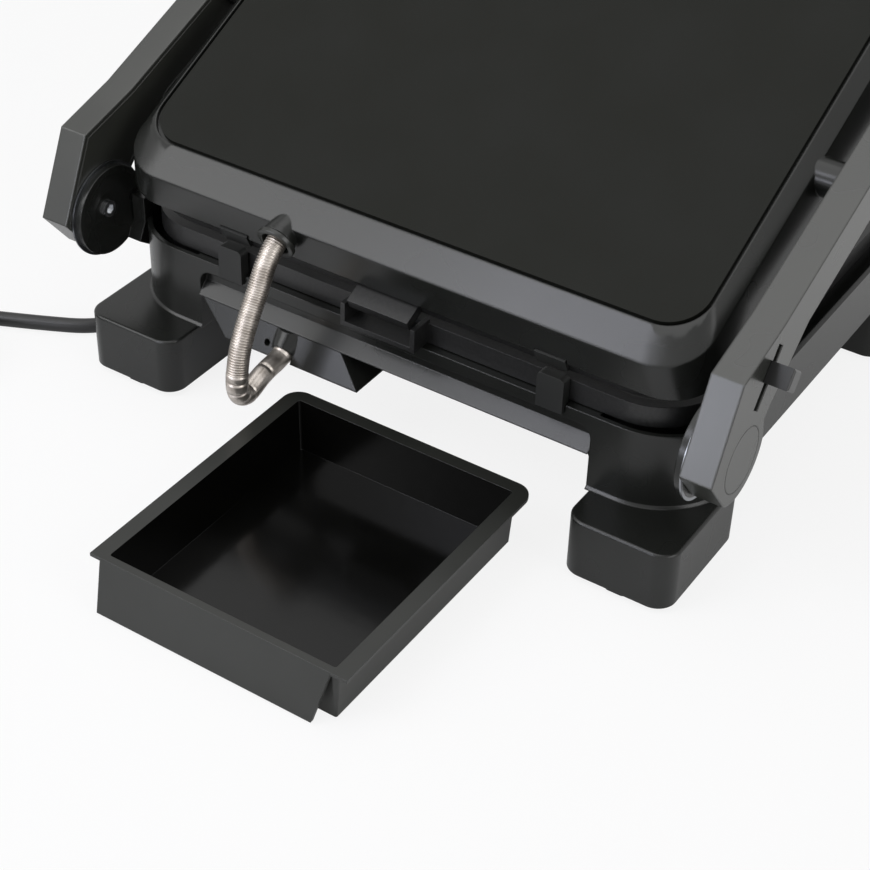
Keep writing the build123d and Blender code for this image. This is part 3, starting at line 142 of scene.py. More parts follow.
# The collar round the hose: the same ABS with painted light, a little greyer all over because it is turned
# towards the light
LIT_COLLAR_ABS = moulded("collar_abs_painted_light", "#242522", "#2a2b28", 0.30, 0.7, 0.010)
# The same ABS on the arms, with a greyer satin lacquer that lifts the broad outer faces
ARM_LACQUER = moulded("arm_lacquer", "#2a2b28", "#30312d", 0.28, 0.7, 0.008, specular=0.7, edge_mm=1.3)
# Polypropylene inside and under the base: plain moulded black, duller than the outside
INNER_PP = moulded("inner_polypropylene", "#101110", "#151614", 0.55, 1.2, 0.02)
# Textured lid panel: matte black with a fine sand-like grain that breaks up every reflection
GRAINED_PANEL = moulded("grained_panel", "#161713", "#1a1b18", 0.50, 0.8, 0.05, specular=0.12)
# Rubber pads: dull and even
PAD_RUBBER = moulded("pad_rubber", "#171717", "#1c1c1c", 0.75, 1.5, 0.03, specular=0.3)
# Lead and plug in black PVC: a low waxy sheen
CORD_PVC = moulded("cord_pvc", "#1c1c1c", "#222222", 0.42, 1.0, 0.015)
# Polished mould inside the drip tray: deep black with clear reflections
TRAY_GLOSS = moulded("tray_gloss", "#060605", "#080807", 0.16, 9.0, 0.03, specular=0.4)
# Outside of the drip tray: the same plastic from a dull mould
TRAY_SATIN = moulded("tray_satin", "#222320", "#282926", 0.36, 0.7, 0.012)
# Front controls: smooth black ABS
PANEL_ABS = moulded("panel_abs", "#161616", "#1b1b1b", 0.30, 1.0, 0.006)
# Non-stick coating of the cooking plates: black with faint paler flecks and a greasy sheen
PLATE_COATING = moulded("plate_coating", "#141414", "#202020", 0.38, 0.9, 0.03, cloud_mm=1.6)
# Bright nickel of the hose: warm grey with soft dark bands
HOSE_NICKEL = metal("hose_nickel", "#aba39b", "#cfc8c1", 0.38, 6.0)
# Zinc-plated steel of the bottom cover's screws: a soft cool grey
ZINC_STEEL = metal("zinc_steel", "#8d8f91", "#b9bbbc", 0.32, 3.0)
# Satin chrome of the hinge rings: a soft grey line rather than a mirror
SATIN_CHROME = metal("satin_chrome", "#85878b", "#9b9da1", 0.30, 8.0)
# Bright zinc of the hinge bolts, which catch the light in their dark dishes
BRIGHT_ZINC = metal("bright_zinc", "#bfc1c4", "#e3e4e6", 0.24, 3.0)
# Drawn steel of rod, spindle and pins: fine streaks along X
DRAWN_STEEL = metal("drawn_steel", "#9a9a9a", "#c2c2c2", 0.28, 2.0, (0.05, 1.0, 1.0))
# Aluminised sheet of the pans: pale and dull
PAN_SHEET = metal("aluminised_sheet", "#9ea1a2", "#c4c6c7", 0.42, 12.0)
# Oxidised sheath of the heating tubes: a dull brownish grey
HEATER_SHEATH = metal("heater_sheath", "#4a423c", "#6b6058", 0.5, 5.0)
# Spring steel, blued: darker and cooler than the drawn steel
SPRING_STEEL = metal("spring_steel", "#55585c", "#7f8387", 0.3, 2.0)
# Nickelled brass of the plug's pins: bright and faintly warm
PIN_NICKEL = metal("pin_nickel", "#c7c2b8", "#e0dcd3", 0.22, 3.0)
# Marks on the dial: printed in pale grey
MARK_INK = moulded("mark_ink", "#b8b8b4", "#c4c4c0", 0.5, 2.0, 0.002)
# Pilot lamps: clear red lenses
LAMP_LENS = moulded("lamp_lens", "#7a0f0c", "#8d1511", 0.15, 4.0, 0.01, **{"Transmission Weight": 0.35})

FINISH_OF_NODE = {
    "base_housing": SATIN_ABS, "cable_block": SATIN_ABS, "lid_housing": SATIN_ABS,
    "hose_grommet": LIT_COLLAR_ABS, "lid_top_panel": GRAINED_PANEL,
    "base_bottom_cover": INNER_PP, "lower_plate_clips": INNER_PP, "upper_plate_clips": INNER_PP,
    "tray_rails": INNER_PP, "arm_cover_left": ARM_LACQUER, "arm_cover_right": ARM_LACQUER,
    "thermostat": INNER_PP, "terminal_block": INNER_PP, "thermal_fuse": PAN_SHEET,
    "foot_pads": PAD_RUBBER, "bottom_cover_screws": ZINC_STEEL,
    "strain_relief": CORD_PVC, "power_cord": CORD_PVC, "cord_tail": CORD_PVC, "cord_coil": CORD_PVC,
    "mains_plug": CORD_PVC, "steel_hose": HOSE_NICKEL,
    "lower_plate": PLATE_COATING, "upper_plate": PLATE_COATING,
    "lower_heater": HEATER_SHEATH, "upper_heater": HEATER_SHEATH,
    "lower_reflector": PAN_SHEET, "upper_reflector": PAN_SHEET,
    "lower_release_button": PANEL_ABS, "upper_release_button": PANEL_ABS,
    "lower_button_spring": SPRING_STEEL, "upper_button_spring": SPRING_STEEL,
    "control_panel": PANEL_ABS, "pilot_lamps": LAMP_LENS, "temperature_knob": PANEL_ABS,
    "knob_spindle": DRAWN_STEEL, "lid_pivot_pins": DRAWN_STEEL, "handle_rod": DRAWN_STEEL,
    "arm_left": ARM_LACQUER, "arm_right": ARM_LACQUER,
    "pivot_cap_left": ARM_LACQUER, "pivot_cap_right": ARM_LACQUER,
    "hinge_disc_left": SATIN_ABS, "hinge_disc_right": SATIN_ABS,
    "hinge_ring_left": SATIN_CHROME, "hinge_ring_right": SATIN_CHROME,
    "pivot_bolt_left": BRIGHT_ZINC, "pivot_bolt_right": BRIGHT_ZINC,
    "handle_grip": SATIN_ABS, "release_lever": PANEL_ABS, "release_spring": SPRING_STEEL,
    "drip_tray": TRAY_SATIN,
}
for node_name, finish in FINISH_OF_NODE.items():
    NODES[node_name].data.materials.clear()
    NODES[node_name].data.materials.append(finish)


# Camera

CAMERA_TURN, CAMERA_RISE, CAMERA_ROLL = 212.34, 37.75, 1.75
CAMERA_PLACE = (-0.42189, 0.74574, 0.59577)
LENS_MM, SENSOR_MM = 79.825, 36


def make_camera():
    """The camera at the photograph's angle, seen from behind the grill and above it."""
    turn, rise, roll = (math.radians(angle) for angle in (CAMERA_TURN, CAMERA_RISE, CAMERA_ROLL))
    back = Vector((math.sin(turn) * math.cos(rise), -math.cos(turn) * math.cos(rise), math.sin(rise)))
    right = Vector((math.cos(turn), math.sin(turn), 0))
    up = back.cross(right)
    across = math.cos(roll) * right + math.sin(roll) * up
    upward = -math.sin(roll) * right + math.cos(roll) * up
    data = bpy.data.cameras.new("camera")
    data.lens = LENS_MM
    data.sensor_width = SENSOR_MM
    camera = bpy.data.objects.new("camera", data)
    bpy.context.scene.collection.objects.link(camera)
    axes = Matrix((across, upward, back)).transposed().to_4x4()
    camera.matrix_world = Matrix.Translation(CAMERA_PLACE) @ axes
    bpy.context.scene.camera = camera


make_camera()


# Meshes: plain objects, and CAD shapes with clean shading

# Points of a CAD mesh that are nearer than this are one point
WELD_MM = 0.002
# Cosine of the angle up to which faces count as one flat region
SAME_PLANE = 0.99999
# Faces that meet at more than this angle keep a sharp edge between them
SHARP_ABOVE = 32
# Only faces whose flat region has this share of the largest one at a corner turn its shading
BROAD_SHARE = 0.2


def add_object(name, mesh, finish=None):
    """A mesh object at the origin, with one finish."""
    piece = bpy.data.objects.new(name, mesh)
    bpy.context.scene.collection.objects.link(piece)
    if finish:
        mesh.materials.clear()
        mesh.materials.append(finish)
    return piece


def as_mesh(source, name, finish=None):
    """What an object with modifiers or a curve shows, as a plain mesh object at the origin."""
    bpy.context.view_layer.update()
    ready = source.evaluated_get(bpy.context.evaluated_depsgraph_get())
    mesh = bpy.data.meshes.new_from_object(ready)
    mesh.transform(source.matrix_world)
    bpy.data.objects.remove(source)
    return add_object(name, mesh, finish)


def flat_regions(work):
    """The size of the flat region that each face belongs to, by face index."""
    size = {}
    for first in work.faces:
        if first.index in size:
            continue
        region, waiting = {first.index}, [first]
        area = 0.0
        while waiting:
            face = waiting.pop()
            area += face.calc_area()
            for edge in face.edges:
                for other in edge.link_faces:
                    if other.index not in region and other.normal.dot(first.normal) > SAME_PLANE:
                        region.add(other.index)
                        waiting.append(other)
        size.update((index, area) for index in region)
    return size


def smooth_fan(face, corner, limit):
    """The faces round a corner that are joined to a face with no sharp edge between them."""
    fan, waiting = {face}, [face]
    while waiting:
        here = waiting.pop()
        for edge in corner.link_edges:
            if here in edge.link_faces:
                for other in edge.link_faces:
                    if other not in fan and other.normal.dot(here.normal) > limit:
                        fan.add(other)
                        waiting.append(other)
    return fan


def corner_normals(work):
    """A normal for each face corner: flat faces stay flat up to their edge, and round ones are smooth."""
    size, limit, normals = flat_regions(work), math.cos(math.radians(SHARP_ABOVE)), []
    for face in work.faces:
        for loop in face.loops:
            fan = smooth_fan(face, loop.vert, limit)
            biggest = max(size[one.index] for one in fan)
            total = Vector()
            for one in fan:
                if size[one.index] > BROAD_SHARE * biggest:
                    total += one.normal * size[one.index]
            normals.append(total.normalized() if total.length else face.normal)
    return normals


def dressed(node, body):
    """A welded copy of a CAD node with clean shading, on one body, or on none where two bodies are given.
    """
    mesh = bpy.data.meshes.new(node + "_shown")
    work = bmesh.new()
    work.from_mesh(NODES[node].data)
    bmesh.ops.remove_doubles(work, verts=work.verts, dist=WELD_MM * MM)
    for face in work.faces:
        face.smooth = True
    work.normal_update()
    work.faces.index_update()
    normals = corner_normals(work)
    work.to_mesh(mesh)
    work.free()
    mesh.normals_split_custom_set([tuple(normal) for normal in normals])
    piece = add_object(node + "_shown", mesh, FINISH_OF_NODE[node])
    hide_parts(node)
    if isinstance(body, str):
        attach(piece, body)
    else:
        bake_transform(piece)
    return piece


def repainted(piece, finish, belongs):
    """A second finish on those faces of a piece whose middle and normal pass the test."""
    piece.data.materials.append(finish)
    for face in piece.data.polygons:
        if belongs(face.center / MM, face.normal):
            face.material_index = len(piece.data.materials) - 1


# Smooth lines and round cords

# Fineness of a spline between its control points, and of a cord's round section
LINE_STEPS = 10
SECTION_STEPS = 5


def spline(name, points_mm, radius_mm):
    """A smooth open NURBS curve with these control points, as a round cord or a bare line."""
    curve = bpy.data.curves.new(name, "CURVE")
    curve.dimensions = "3D"
    line = curve.splines.new("NURBS")
    line.points.add(len(points_mm) - 1)
    for place, (x, y, z) in zip(line.points, points_mm):
        place.co = (x * MM, y * MM, z * MM, 1.0)
    line.order_u = 3
    line.use_endpoint_u = True
    line.resolution_u = LINE_STEPS
    curve.bevel_depth = radius_mm * MM
    curve.bevel_resolution = SECTION_STEPS
    curve.use_fill_caps = radius_mm > 0
    piece = bpy.data.objects.new(name, curve)
    bpy.context.scene.collection.objects.link(piece)
    return piece


def line_points(name, points_mm):
    """Points along the smooth curve of a route, in metres."""
    bare = as_mesh(spline(name, points_mm, 0.0), name)
    points = [vertex.co.copy() for vertex in bare.data.vertices]
    bpy.data.objects.remove(bare)
    return points


def length_of(points):
    """How long a line of points is."""
    return sum((b - a).length for a, b in zip(points, points[1:]))


# Mains lead: out of its strain relief, down to the table, past the right foot and into its coil

CORD_RADIUS = 4.0
CORD_ROUTE = [(85.0, 47.0, 47.7), (85.0, 24.0, 47.7), (85.0, -4.6, 37.0), (102.2, -28.3, 20.0),
              (130.0, -37.3, 8.0), (157.8, -28.3, 4.0), (175.0, -4.6, 4.0), (175.6, 28.0, 4.0),
              (175.0, 60.0, 4.0), (175.3, 84.0, 4.0), (175.0, 105.4, 4.0), (188.0, 126.5, 4.0),
              (214.7, 140.2, 4.0), (243.7, 153.7, 4.0), (260.0, 161.3, 4.0)]
TAIL_ROUTE = [(306.4, 231.0, 11.5), (306.7, 249.0, 9.5), (306.4, 266.0, 13.0), (306.4, 283.0, 19.0),
              (306.4, 295.0, 19.0)]
# The coil: radii and heights of the lead's middle, and the angles of its points in degrees
COIL_MIDDLE = (260.4, 212.3)
COIL_WIDE, COIL_NARROW = 46.8, 38.7
COIL_LOW, COIL_HIGH = 4.0, 12.0
COIL_FROM, COIL_STEP, COIL_POINTS = -54, 22.5, 49
# A turn is counted from the seam's angle, and changes its radius or height over a quarter turn
COIL_SEAM = -65
COIL_CHANGE = 90
NARROWS_AT, RISES_AT, WIDENS_AT = 180, 90, 0


def changed_by(angle, start):
    """The share of a change that is done at an angle, where the change begins at start."""
    return min(max((angle - start) / COIL_CHANGE, 0.0), 1.0)


def coil_points():
    """The coil's three turns: from wide to narrow on the table, up onto them, and out to wide on top."""
    places = []
    for step in range(COIL_POINTS):
        angle = COIL_FROM + COIL_STEP * step
        turn, since_seam = divmod(angle - COIL_SEAM, 360)
        within = since_seam + COIL_SEAM
        if turn == 0:
            radius = COIL_WIDE + (COIL_NARROW - COIL_WIDE) * changed_by(within, NARROWS_AT)
            height = COIL_LOW
        elif turn == 1:
            radius = COIL_NARROW
            height = COIL_LOW + (COIL_HIGH - COIL_LOW) * changed_by(within, RISES_AT)
        else:
            radius = COIL_NARROW + (COIL_WIDE - COIL_NARROW) * changed_by(within, WIDENS_AT)
            height = COIL_HIGH
        x = COIL_MIDDLE[0] + radius * math.cos(math.radians(angle))
        y = COIL_MIDDLE[1] + radius * math.sin(math.radians(angle))
        places.append((x, y, height))
    return places


def make_lead():
    """The lead in one piece from strain relief to plug, and its length."""
    route = CORD_ROUTE + coil_points() + TAIL_ROUTE
    cord = spline("mains_lead", route, CORD_RADIUS)
    cord.data.materials.append(CORD_PVC)
    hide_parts("power_cord", "cord_tail", "cord_coil")
    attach(cord, "base")
    return cord, length_of(line_points("lead_line", route))


lead, lead_length = make_lead()


# Steel hose: out of the block under the skirt, round a bend and up to the port in the lid

HOSE_ROUTE = [(57.0, 123.0, 48.3), (57.0, 132.0, 42.3), (57.0, 148.0, 41.6), (57.0, 161.2, 35.6),
              (57.0, 168.3, 41.2), (57.0, 167.6, 54.0), (57.0, 164.5, 66.0), (57.0, 158.0, 78.0),
              (57.0, 150.3, 89.0), (57.0, 144.5, 99.5), (57.0, 137.5, 107.9), (57.0, 127.0, 112.85)]
HOSE_RADIUS = 5.4
# Share of the hose's length where its two pieces meet
HOSE_SPLIT = 0.70
# The real winding has a pitch of about 1 mm, and is drawn coarser here so that its turns show
WOUND_PITCH = 1.25
WIRE_RADIUS = 0.5
# How far the core between the turns lies below the middle of the wire
CORE_SINKS = 0.1 * WIRE_RADIUS
RING_SEGMENTS, WIRE_SEGMENTS, CORE_SEGMENTS = 28, 6, 24
# The winding begins at this distance along the hose, and its next point is at least this far on
WOUND_FROM = 60.0
NEXT_POINT = 0.2
# Distance along the hose and radius there: ferrule, its ring lines, and the broad bands above it
FERRULE = [(0.0, 5.1), (9.0, 5.1), (9.2, 5.3), (11.4, 5.3), (11.6, 5.1), (24.0, 5.1), (24.3, 4.8),
           (24.9, 4.8), (25.2, 5.1), (38.0, 5.15), (38.3, 4.9), (39.0, 4.9), (39.3, 5.3), (44.6, 5.4),
           (44.9, 5.0), (45.4, 5.0), (45.7, 5.5), (50.0, 5.5), (50.3, 5.05), (50.8, 5.05),
           (51.1, 5.55), (55.1, 5.55), (55.4, 5.05), (55.9, 5.05), (56.2, 5.55), (59.4, 5.55),
           (59.7, 5.0), (WOUND_FROM, 5.0)]
FERRULE_SIDES = 32
FERRULE_STEP = 1.2


def ring_tree():
    """Close-wound wire along a line: a ring at every pitch, over a core that fills the gaps."""
    tree = bpy.data.node_groups.new("wound_wire", "GeometryNodeTree")
    tree.interface.new_socket("Geometry", in_out="INPUT", socket_type="NodeSocketGeometry")
    ring_radius = HOSE_RADIUS - WIRE_RADIUS
    for label, size in (("Pitch", WOUND_PITCH), ("Ring radius", ring_radius),
                        ("Wire radius", WIRE_RADIUS), ("Core radius", ring_radius - CORE_SINKS)):
        socket = tree.interface.new_socket(label, in_out="INPUT", socket_type="NodeSocketFloat")
        socket.default_value = size * MM
    tree.interface.new_socket("Geometry", in_out="OUTPUT", socket_type="NodeSocketGeometry")
    source = add_node(tree, "NodeGroupInput")
    line = add_node(tree, "GeometryNodeMeshToCurve", links={"Mesh": source.outputs["Geometry"]})
    even = add_node(tree, "GeometryNodeResampleCurve", {"mode": "LENGTH"},
                    links={"Curve": line.outputs["Curve"], "Length": source.outputs["Pitch"]})
    tangent = add_node(tree, "GeometryNodeInputTangent")
    upright = add_node(tree, "FunctionNodeAlignRotationToVector", {"axis": "Z"},
                       links={"Vector": tangent.outputs["Tangent"]})
    hoop = add_node(tree, "GeometryNodeCurvePrimitiveCircle", values={"Resolution": RING_SEGMENTS},
                    links={"Radius": source.outputs["Ring radius"]})
    section = add_node(tree, "GeometryNodeCurvePrimitiveCircle", values={"Resolution": WIRE_SEGMENTS},
                       links={"Radius": source.outputs["Wire radius"]})
    ring = add_node(tree, "GeometryNodeCurveToMesh",
                    links={"Curve": hoop.outputs["Curve"], "Profile Curve": section.outputs["Curve"]})
    rings = add_node(tree, "GeometryNodeInstanceOnPoints",
                     links={"Points": even.outputs["Curve"], "Instance": ring.outputs["Mesh"],
                            "Rotation": upright.outputs["Rotation"]})
    core_section = add_node(tree, "GeometryNodeCurvePrimitiveCircle",
                            values={"Resolution": CORE_SEGMENTS},
                            links={"Radius": source.outputs["Core radius"]})
    core = add_node(tree, "GeometryNodeCurveToMesh",
                    links={"Curve": line.outputs["Curve"],
                           "Profile Curve": core_section.outputs["Curve"]})
    real = add_node(tree, "GeometryNodeRealizeInstances", links={"Geometry": rings.outputs["Instances"]})
    joined = add_node(tree, "GeometryNodeJoinGeometry")
    tree.links.new(real.outputs["Geometry"], joined.inputs["Geometry"])
    tree.links.new(core.outputs["Mesh"], joined.inputs["Geometry"])
    smooth = add_node(tree, "GeometryNodeSetShadeSmooth", links={"Geometry": joined.outputs["Geometry"]})
    painted = add_node(tree, "GeometryNodeSetMaterial", values={"Material": HOSE_NICKEL},
                       links={"Geometry": smooth.outputs["Geometry"]})
    add_node(tree, "NodeGroupOutput", links={"Geometry": painted.outputs["Geometry"]})
    return tree


def place_at(points, distance):
    """The point of a line at a distance from its start, and the line's direction there."""
    passed = 0.0
    for a, b in zip(points, points[1:]):
        step = (b - a).length
        if passed + step >= distance:
            return a + (b - a) * ((distance - passed) / step), (b - a).normalized()
        passed += step
    return points[-1], (points[-1] - points[-2]).normalized()


def finely(profile):
    """A profile with points between its own, so that a long stretch can follow a bend."""
    filled = [profile[0]]
    for (s0, r0), (s1, r1) in zip(profile, profile[1:]):
        count = max(1, math.ceil((s1 - s0) / FERRULE_STEP))
        filled += [(s0 + (s1 - s0) * k / count, r0 + (r1 - r0) * k / count) for k in range(1, count + 1)]
    return filled


def add_ferrule(piece, points):
    """Adds the hose's lower end to its winding: a tube of changing radius round a line across X."""
    work = bmesh.new()
    work.from_mesh(piece.data)
    across, before = Vector((1, 0, 0)), None
    for distance, radius in finely(FERRULE):
        middle, along = place_at(points, distance * MM)
        upward = along.cross(across)
        ring = []
        for k in range(FERRULE_SIDES):
            angle = 2 * math.pi * k / FERRULE_SIDES
            away = math.cos(angle) * across + math.sin(angle) * upward
            ring.append(work.verts.new(middle + radius * MM * away))
        if before:
            for k in range(FERRULE_SIDES):
                work.faces.new((before[k], before[k - 1], ring[k - 1], ring[k]))
        before = ring
    work.to_mesh(piece.data)
    work.free()


def wound_along(name, points, tree):
    """A stretch of the winding along a line of points, as a plain mesh object."""
    mesh = bpy.data.meshes.new(name + "_line")
    mesh.from_pydata([tuple(p) for p in points], [(i, i + 1) for i in range(len(points) - 1)], [])
    line = bpy.data.objects.new(name + "_line", mesh)
    bpy.context.scene.collection.objects.link(line)
    winding = line.modifiers.new("winding", "NODES")
    winding.node_group = tree
    return as_mesh(line, name)


def nickelled(piece):
    """One smooth nickel finish all over a stretch of the hose."""
    piece.data.materials.clear()
    piece.data.materials.append(HOSE_NICKEL)
    for polygon in piece.data.polygons:
        polygon.use_smooth = True
        polygon.material_index = 0


def make_hose():
    """The steel hose in two pieces: its lower part runs from the base towards the arms, its upper part on
    to the lid.
    """
    points = line_points("hose_line", HOSE_ROUTE)
    whole, reached, cut = length_of(points), 0.0, 0
    while reached < HOSE_SPLIT * whole:
        reached += (points[cut + 1] - points[cut]).length
        cut += 1
    run, upper_run = points[:cut + 1], points[cut:]
    tree = ring_tree()

    start, heading = place_at(run, WOUND_FROM * MM)
    wound = [start] + [p for p in run if (p - start).dot(heading) > NEXT_POINT * MM and p.z > start.z]
    hose = wound_along("hose_lower", wound, tree)
    add_ferrule(hose, run)
    nickelled(hose)
    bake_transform(hose)
    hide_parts("steel_hose")

    upper = wound_along("hose_upper", upper_run, tree)
    nickelled(upper)
    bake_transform(upper)


make_hose()


# Housings, plates, arms, hinges, controls, tray, plug and springs, in the shapes of their CAD nodes

# A piece with two bodies is a spring that sits between them, attached to neither
BODY_OF_SHOWN = (
    ("base_housing", "base"), ("cable_block", "base"), ("lid_housing", "lid"), ("lid_top_panel", "lid"),
    ("lower_plate", "base"), ("upper_plate", "lid"),
    ("lower_plate_clips", "base"), ("upper_plate_clips", "lid"), ("arm_left", "arms"),
    ("arm_right", "arms"), ("arm_cover_left", "arms"), ("arm_cover_right", "arms"),
    ("pivot_cap_left", "arms"), ("pivot_cap_right", "arms"), ("hinge_disc_left", "base"),
    ("hinge_disc_right", "base"), ("hinge_ring_left", "base"), ("hinge_ring_right", "base"),
    ("pivot_bolt_left", "base"), ("pivot_bolt_right", "base"), ("handle_grip", "arms"),
    ("release_lever", "release"), ("drip_tray", "tray"), ("mains_plug", "base"),
    ("strain_relief", "base"), ("lower_release_button", "lower_button"),
    ("upper_release_button", "upper_button"), ("control_panel", "base"), ("temperature_knob", "knob"),
    ("lower_button_spring", ("base", "lower_button")), ("upper_button_spring", ("lid", "upper_button")),
    ("release_spring", ("arms", "release")),
)
shown = {node_name: dressed(node_name, body) for node_name, body in BODY_OF_SHOWN}


# Small turned, square and printed pieces

TURNED_SIDES = 48
TURNED_SHARP_ABOVE = 30
# An axis lies along X if its cross product with X is shorter than this
NEAR_X = 0.1


def turned(name, start, heading, profile, body, finish, node=None):
    """A body of revolution: distances along an axis and radii there, for a piece that rides on a body."""
    mesh = bpy.data.meshes.new(name)
    work = bmesh.new()
    start, heading = Vector(start), Vector(heading).normalized()
    side = heading.cross(Vector((1, 0, 0)))
    if side.length < NEAR_X:
        side = heading.cross(Vector((0, 0, 1)))
    side.normalize()
    other = heading.cross(side)
    rings = []
    for distance, radius in profile:
        ring = []
        for k in range(TURNED_SIDES):
            angle = 2 * math.pi * k / TURNED_SIDES
            away = math.cos(angle) * side + math.sin(angle) * other
            ring.append(work.verts.new((start + heading * distance + away * radius) * MM))
        rings.append(ring)
    for before, ring in zip(rings, rings[1:]):
        for k in range(TURNED_SIDES):
            work.faces.new((before[k - 1], before[k], ring[k], ring[k - 1]))
    for face in work.faces:
        face.smooth = True
    bmesh.ops.recalc_face_normals(work, faces=work.faces)
    work.to_mesh(mesh)
    work.free()
    mesh.set_sharp_from_angle(angle=math.radians(TURNED_SHARP_ABOVE))
    piece = add_object(name, mesh, finish)
    if node:
        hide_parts(node)
    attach(piece, body)


def box_piece(name, boxes, body, finish):
    """Small boxes in one piece: the middle, the half sizes and the turn about Y of each, in millimetres."""
    mesh = bpy.data.meshes.new(name)
    work = bmesh.new()
    for middle, half, turn in boxes:
        made = bmesh.ops.create_cube(work, size=2.0)
        place = Matrix.Translation(Vector(middle) * MM) @ Matrix.Rotation(math.radians(turn), 4, "Y")
        size = Matrix.Diagonal([h * MM for h in half]).to_4x4()
        bmesh.ops.transform(work, matrix=place @ size, verts=made["verts"])
    work.to_mesh(mesh)
    work.free()
    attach(add_object(name, mesh, finish), body)


# Collar round the hose where it enters the lid: a short ring with a rounded mouth
COLLAR_START, COLLAR_AXIS = (57.0, 133.16, 109.94), (0, 0.9037, -0.4282)
COLLAR_PROFILE = [(0.0, 6.9), (0.0, 9.6), (0.4, 10.0), (2.0, 10.0), (2.5, 9.8), (2.7, 9.3), (2.7, 7.5),
                  (2.4, 7.1), (1.6, 6.9), (0.0, 6.9)]
# The collar takes the ABS with painted light: greyer all over for the light that falls on it
turned("hose_collar", COLLAR_START, COLLAR_AXIS, COLLAR_PROFILE, "lid", LIT_COLLAR_ABS, "hose_grommet")

# Ribs of the strain relief: each profile goes from its foot over its crest and back
RELIEF_X, RELIEF_Z = 85.0, 47.7
RIBS, RIBS_FROM, RIB_PITCH = 6, 52.0, 4.5
RIB_PROFILE = [(0.0, 4.6), (0.3, 5.7), (1.5, 5.9), (2.7, 5.7), (3.0, 4.6), (0.0, 4.6)]
for number in range(RIBS):
    rib_start = (RELIEF_X, RIBS_FROM + RIB_PITCH * number, RELIEF_Z)
    turned("relief_rib_%d" % (number + 1), rib_start, (0, 1, 0), RIB_PROFILE, "base", CORD_PVC)

# Dial: a ring of ticks round the knob with plain numbers outside it, and a mark on the knob
DIAL_X, PANEL_FRONT, DIAL_Z = 0.0, -139.0, 60.6
DIAL_REACH = 13.0
TICKS, TICKS_FROM, TICK_STEP = 9, -120, 30
TICK_HALF = (0.22, 0.1, 0.5)
NUMBERS = (("0", -17.0, 53.0), ("1", -18.5, 64.0), ("3", 18.5, 64.0), ("4", 17.0, 53.0))
NUMBER_HEIGHT, NUMBER_THICKNESS = 4.5, 0.03
# How far the middle of a tick and of a number stands in front of the panel
TICK_PROUD, NUMBER_PROUD = 0.05, 0.06
KNOB_FRONT = -152.1
KNOB_MARK_Z = 68.0
KNOB_MARK_HALF = (0.6, 0.1, 3.4)


def make_number(label, x, z):
    """A printed number on the front panel, as a thin mesh."""
    text = bpy.data.curves.new("number_" + label, "FONT")
    text.body = label
    text.size = NUMBER_HEIGHT * MM
    text.align_x = "CENTER"
    text.align_y = "CENTER"
    text.extrude = NUMBER_THICKNESS * MM
    source = bpy.data.objects.new("number_" + label, text)
    bpy.context.scene.collection.objects.link(source)
    place = Matrix.Translation((x * MM, (PANEL_FRONT - NUMBER_PROUD) * MM, z * MM))
    source.matrix_world = place @ Matrix.Rotation(math.pi / 2, 4, "X")
    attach(as_mesh(source, "dial_number_" + label, MARK_INK), "base")


def make_dial():
    """The printed dial on the front panel, and the knob's flat front with its mark."""
    ticks = []
    for number in range(TICKS):
        turn = TICKS_FROM + TICK_STEP * number
        x = DIAL_X + DIAL_REACH * math.sin(math.radians(turn))
        z = DIAL_Z + DIAL_REACH * math.cos(math.radians(turn))
        ticks.append(((x, PANEL_FRONT - TICK_PROUD, z), TICK_HALF, turn))
    box_piece("dial_ticks", ticks, "base", MARK_INK)
    for label, x, z in NUMBERS:
        make_number(label, x, z)
    for vertex in shown["temperature_knob"].data.vertices:
        vertex.co.y = max(vertex.co.y, KNOB_FRONT * MM)
    box_piece("knob_mark", [((DIAL_X, KNOB_FRONT, KNOB_MARK_Z), KNOB_MARK_HALF, 0)], "knob", MARK_INK)


make_dial()


# Second finishes: the polished inside of the tray, and the plug's pins

TRAY_LOW, TRAY_HIGH = [Vector(corner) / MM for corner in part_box("drip_tray")]
# How far the tray's inner walls stand in from its box at the sides, the far end and the pull
TRAY_SIDE, TRAY_FAR_END, TRAY_PULL_END = 7.2, 6.2, 8.5
TRAY_UNDERSIDE = 1
PIN_LENGTH = 18.9
PINS_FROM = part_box("mains_plug")[1][1] / MM - PIN_LENGTH


def in_tray(middle, normal):
    """Whether a face of the tray looks into it."""
    between_sides = TRAY_LOW.x + TRAY_SIDE < middle.x < TRAY_HIGH.x - TRAY_SIDE
    between_ends = TRAY_LOW.y + TRAY_FAR_END < middle.y < TRAY_HIGH.y - TRAY_PULL_END
    looks_in = normal.dot((TRAY_LOW + TRAY_HIGH) / 2 - middle) > 0
    return between_sides and between_ends and middle.z > TRAY_UNDERSIDE and looks_in


def on_pins(middle, normal):
    """Whether a face of the plug belongs to its pins."""
    return middle.y > PINS_FROM


repainted(shown["drip_tray"], TRAY_GLOSS, in_tray)
repainted(shown["mains_plug"], PIN_NICKEL, on_pins)


# Floor, surround and lamps

FLOOR_REACH = 4.0
FLOOR_COLOUR = "#e8e8e8"
# Share of plain white in the floor that the camera sees: the rest takes light and shadow
FLOOR_WHITE = 0.86
# In reflections that share grows along X, towards the floor on the grill's left: painted light, a glow seen
# only in reflections that stands in for brightly lit floor there
MIRRORED_FROM, MIRRORED_TO = -0.16, -0.36
MIRRORED_LEAST, MIRRORED_MOST = 0.24, 0.9
SURROUND_LIGHT = 0.35
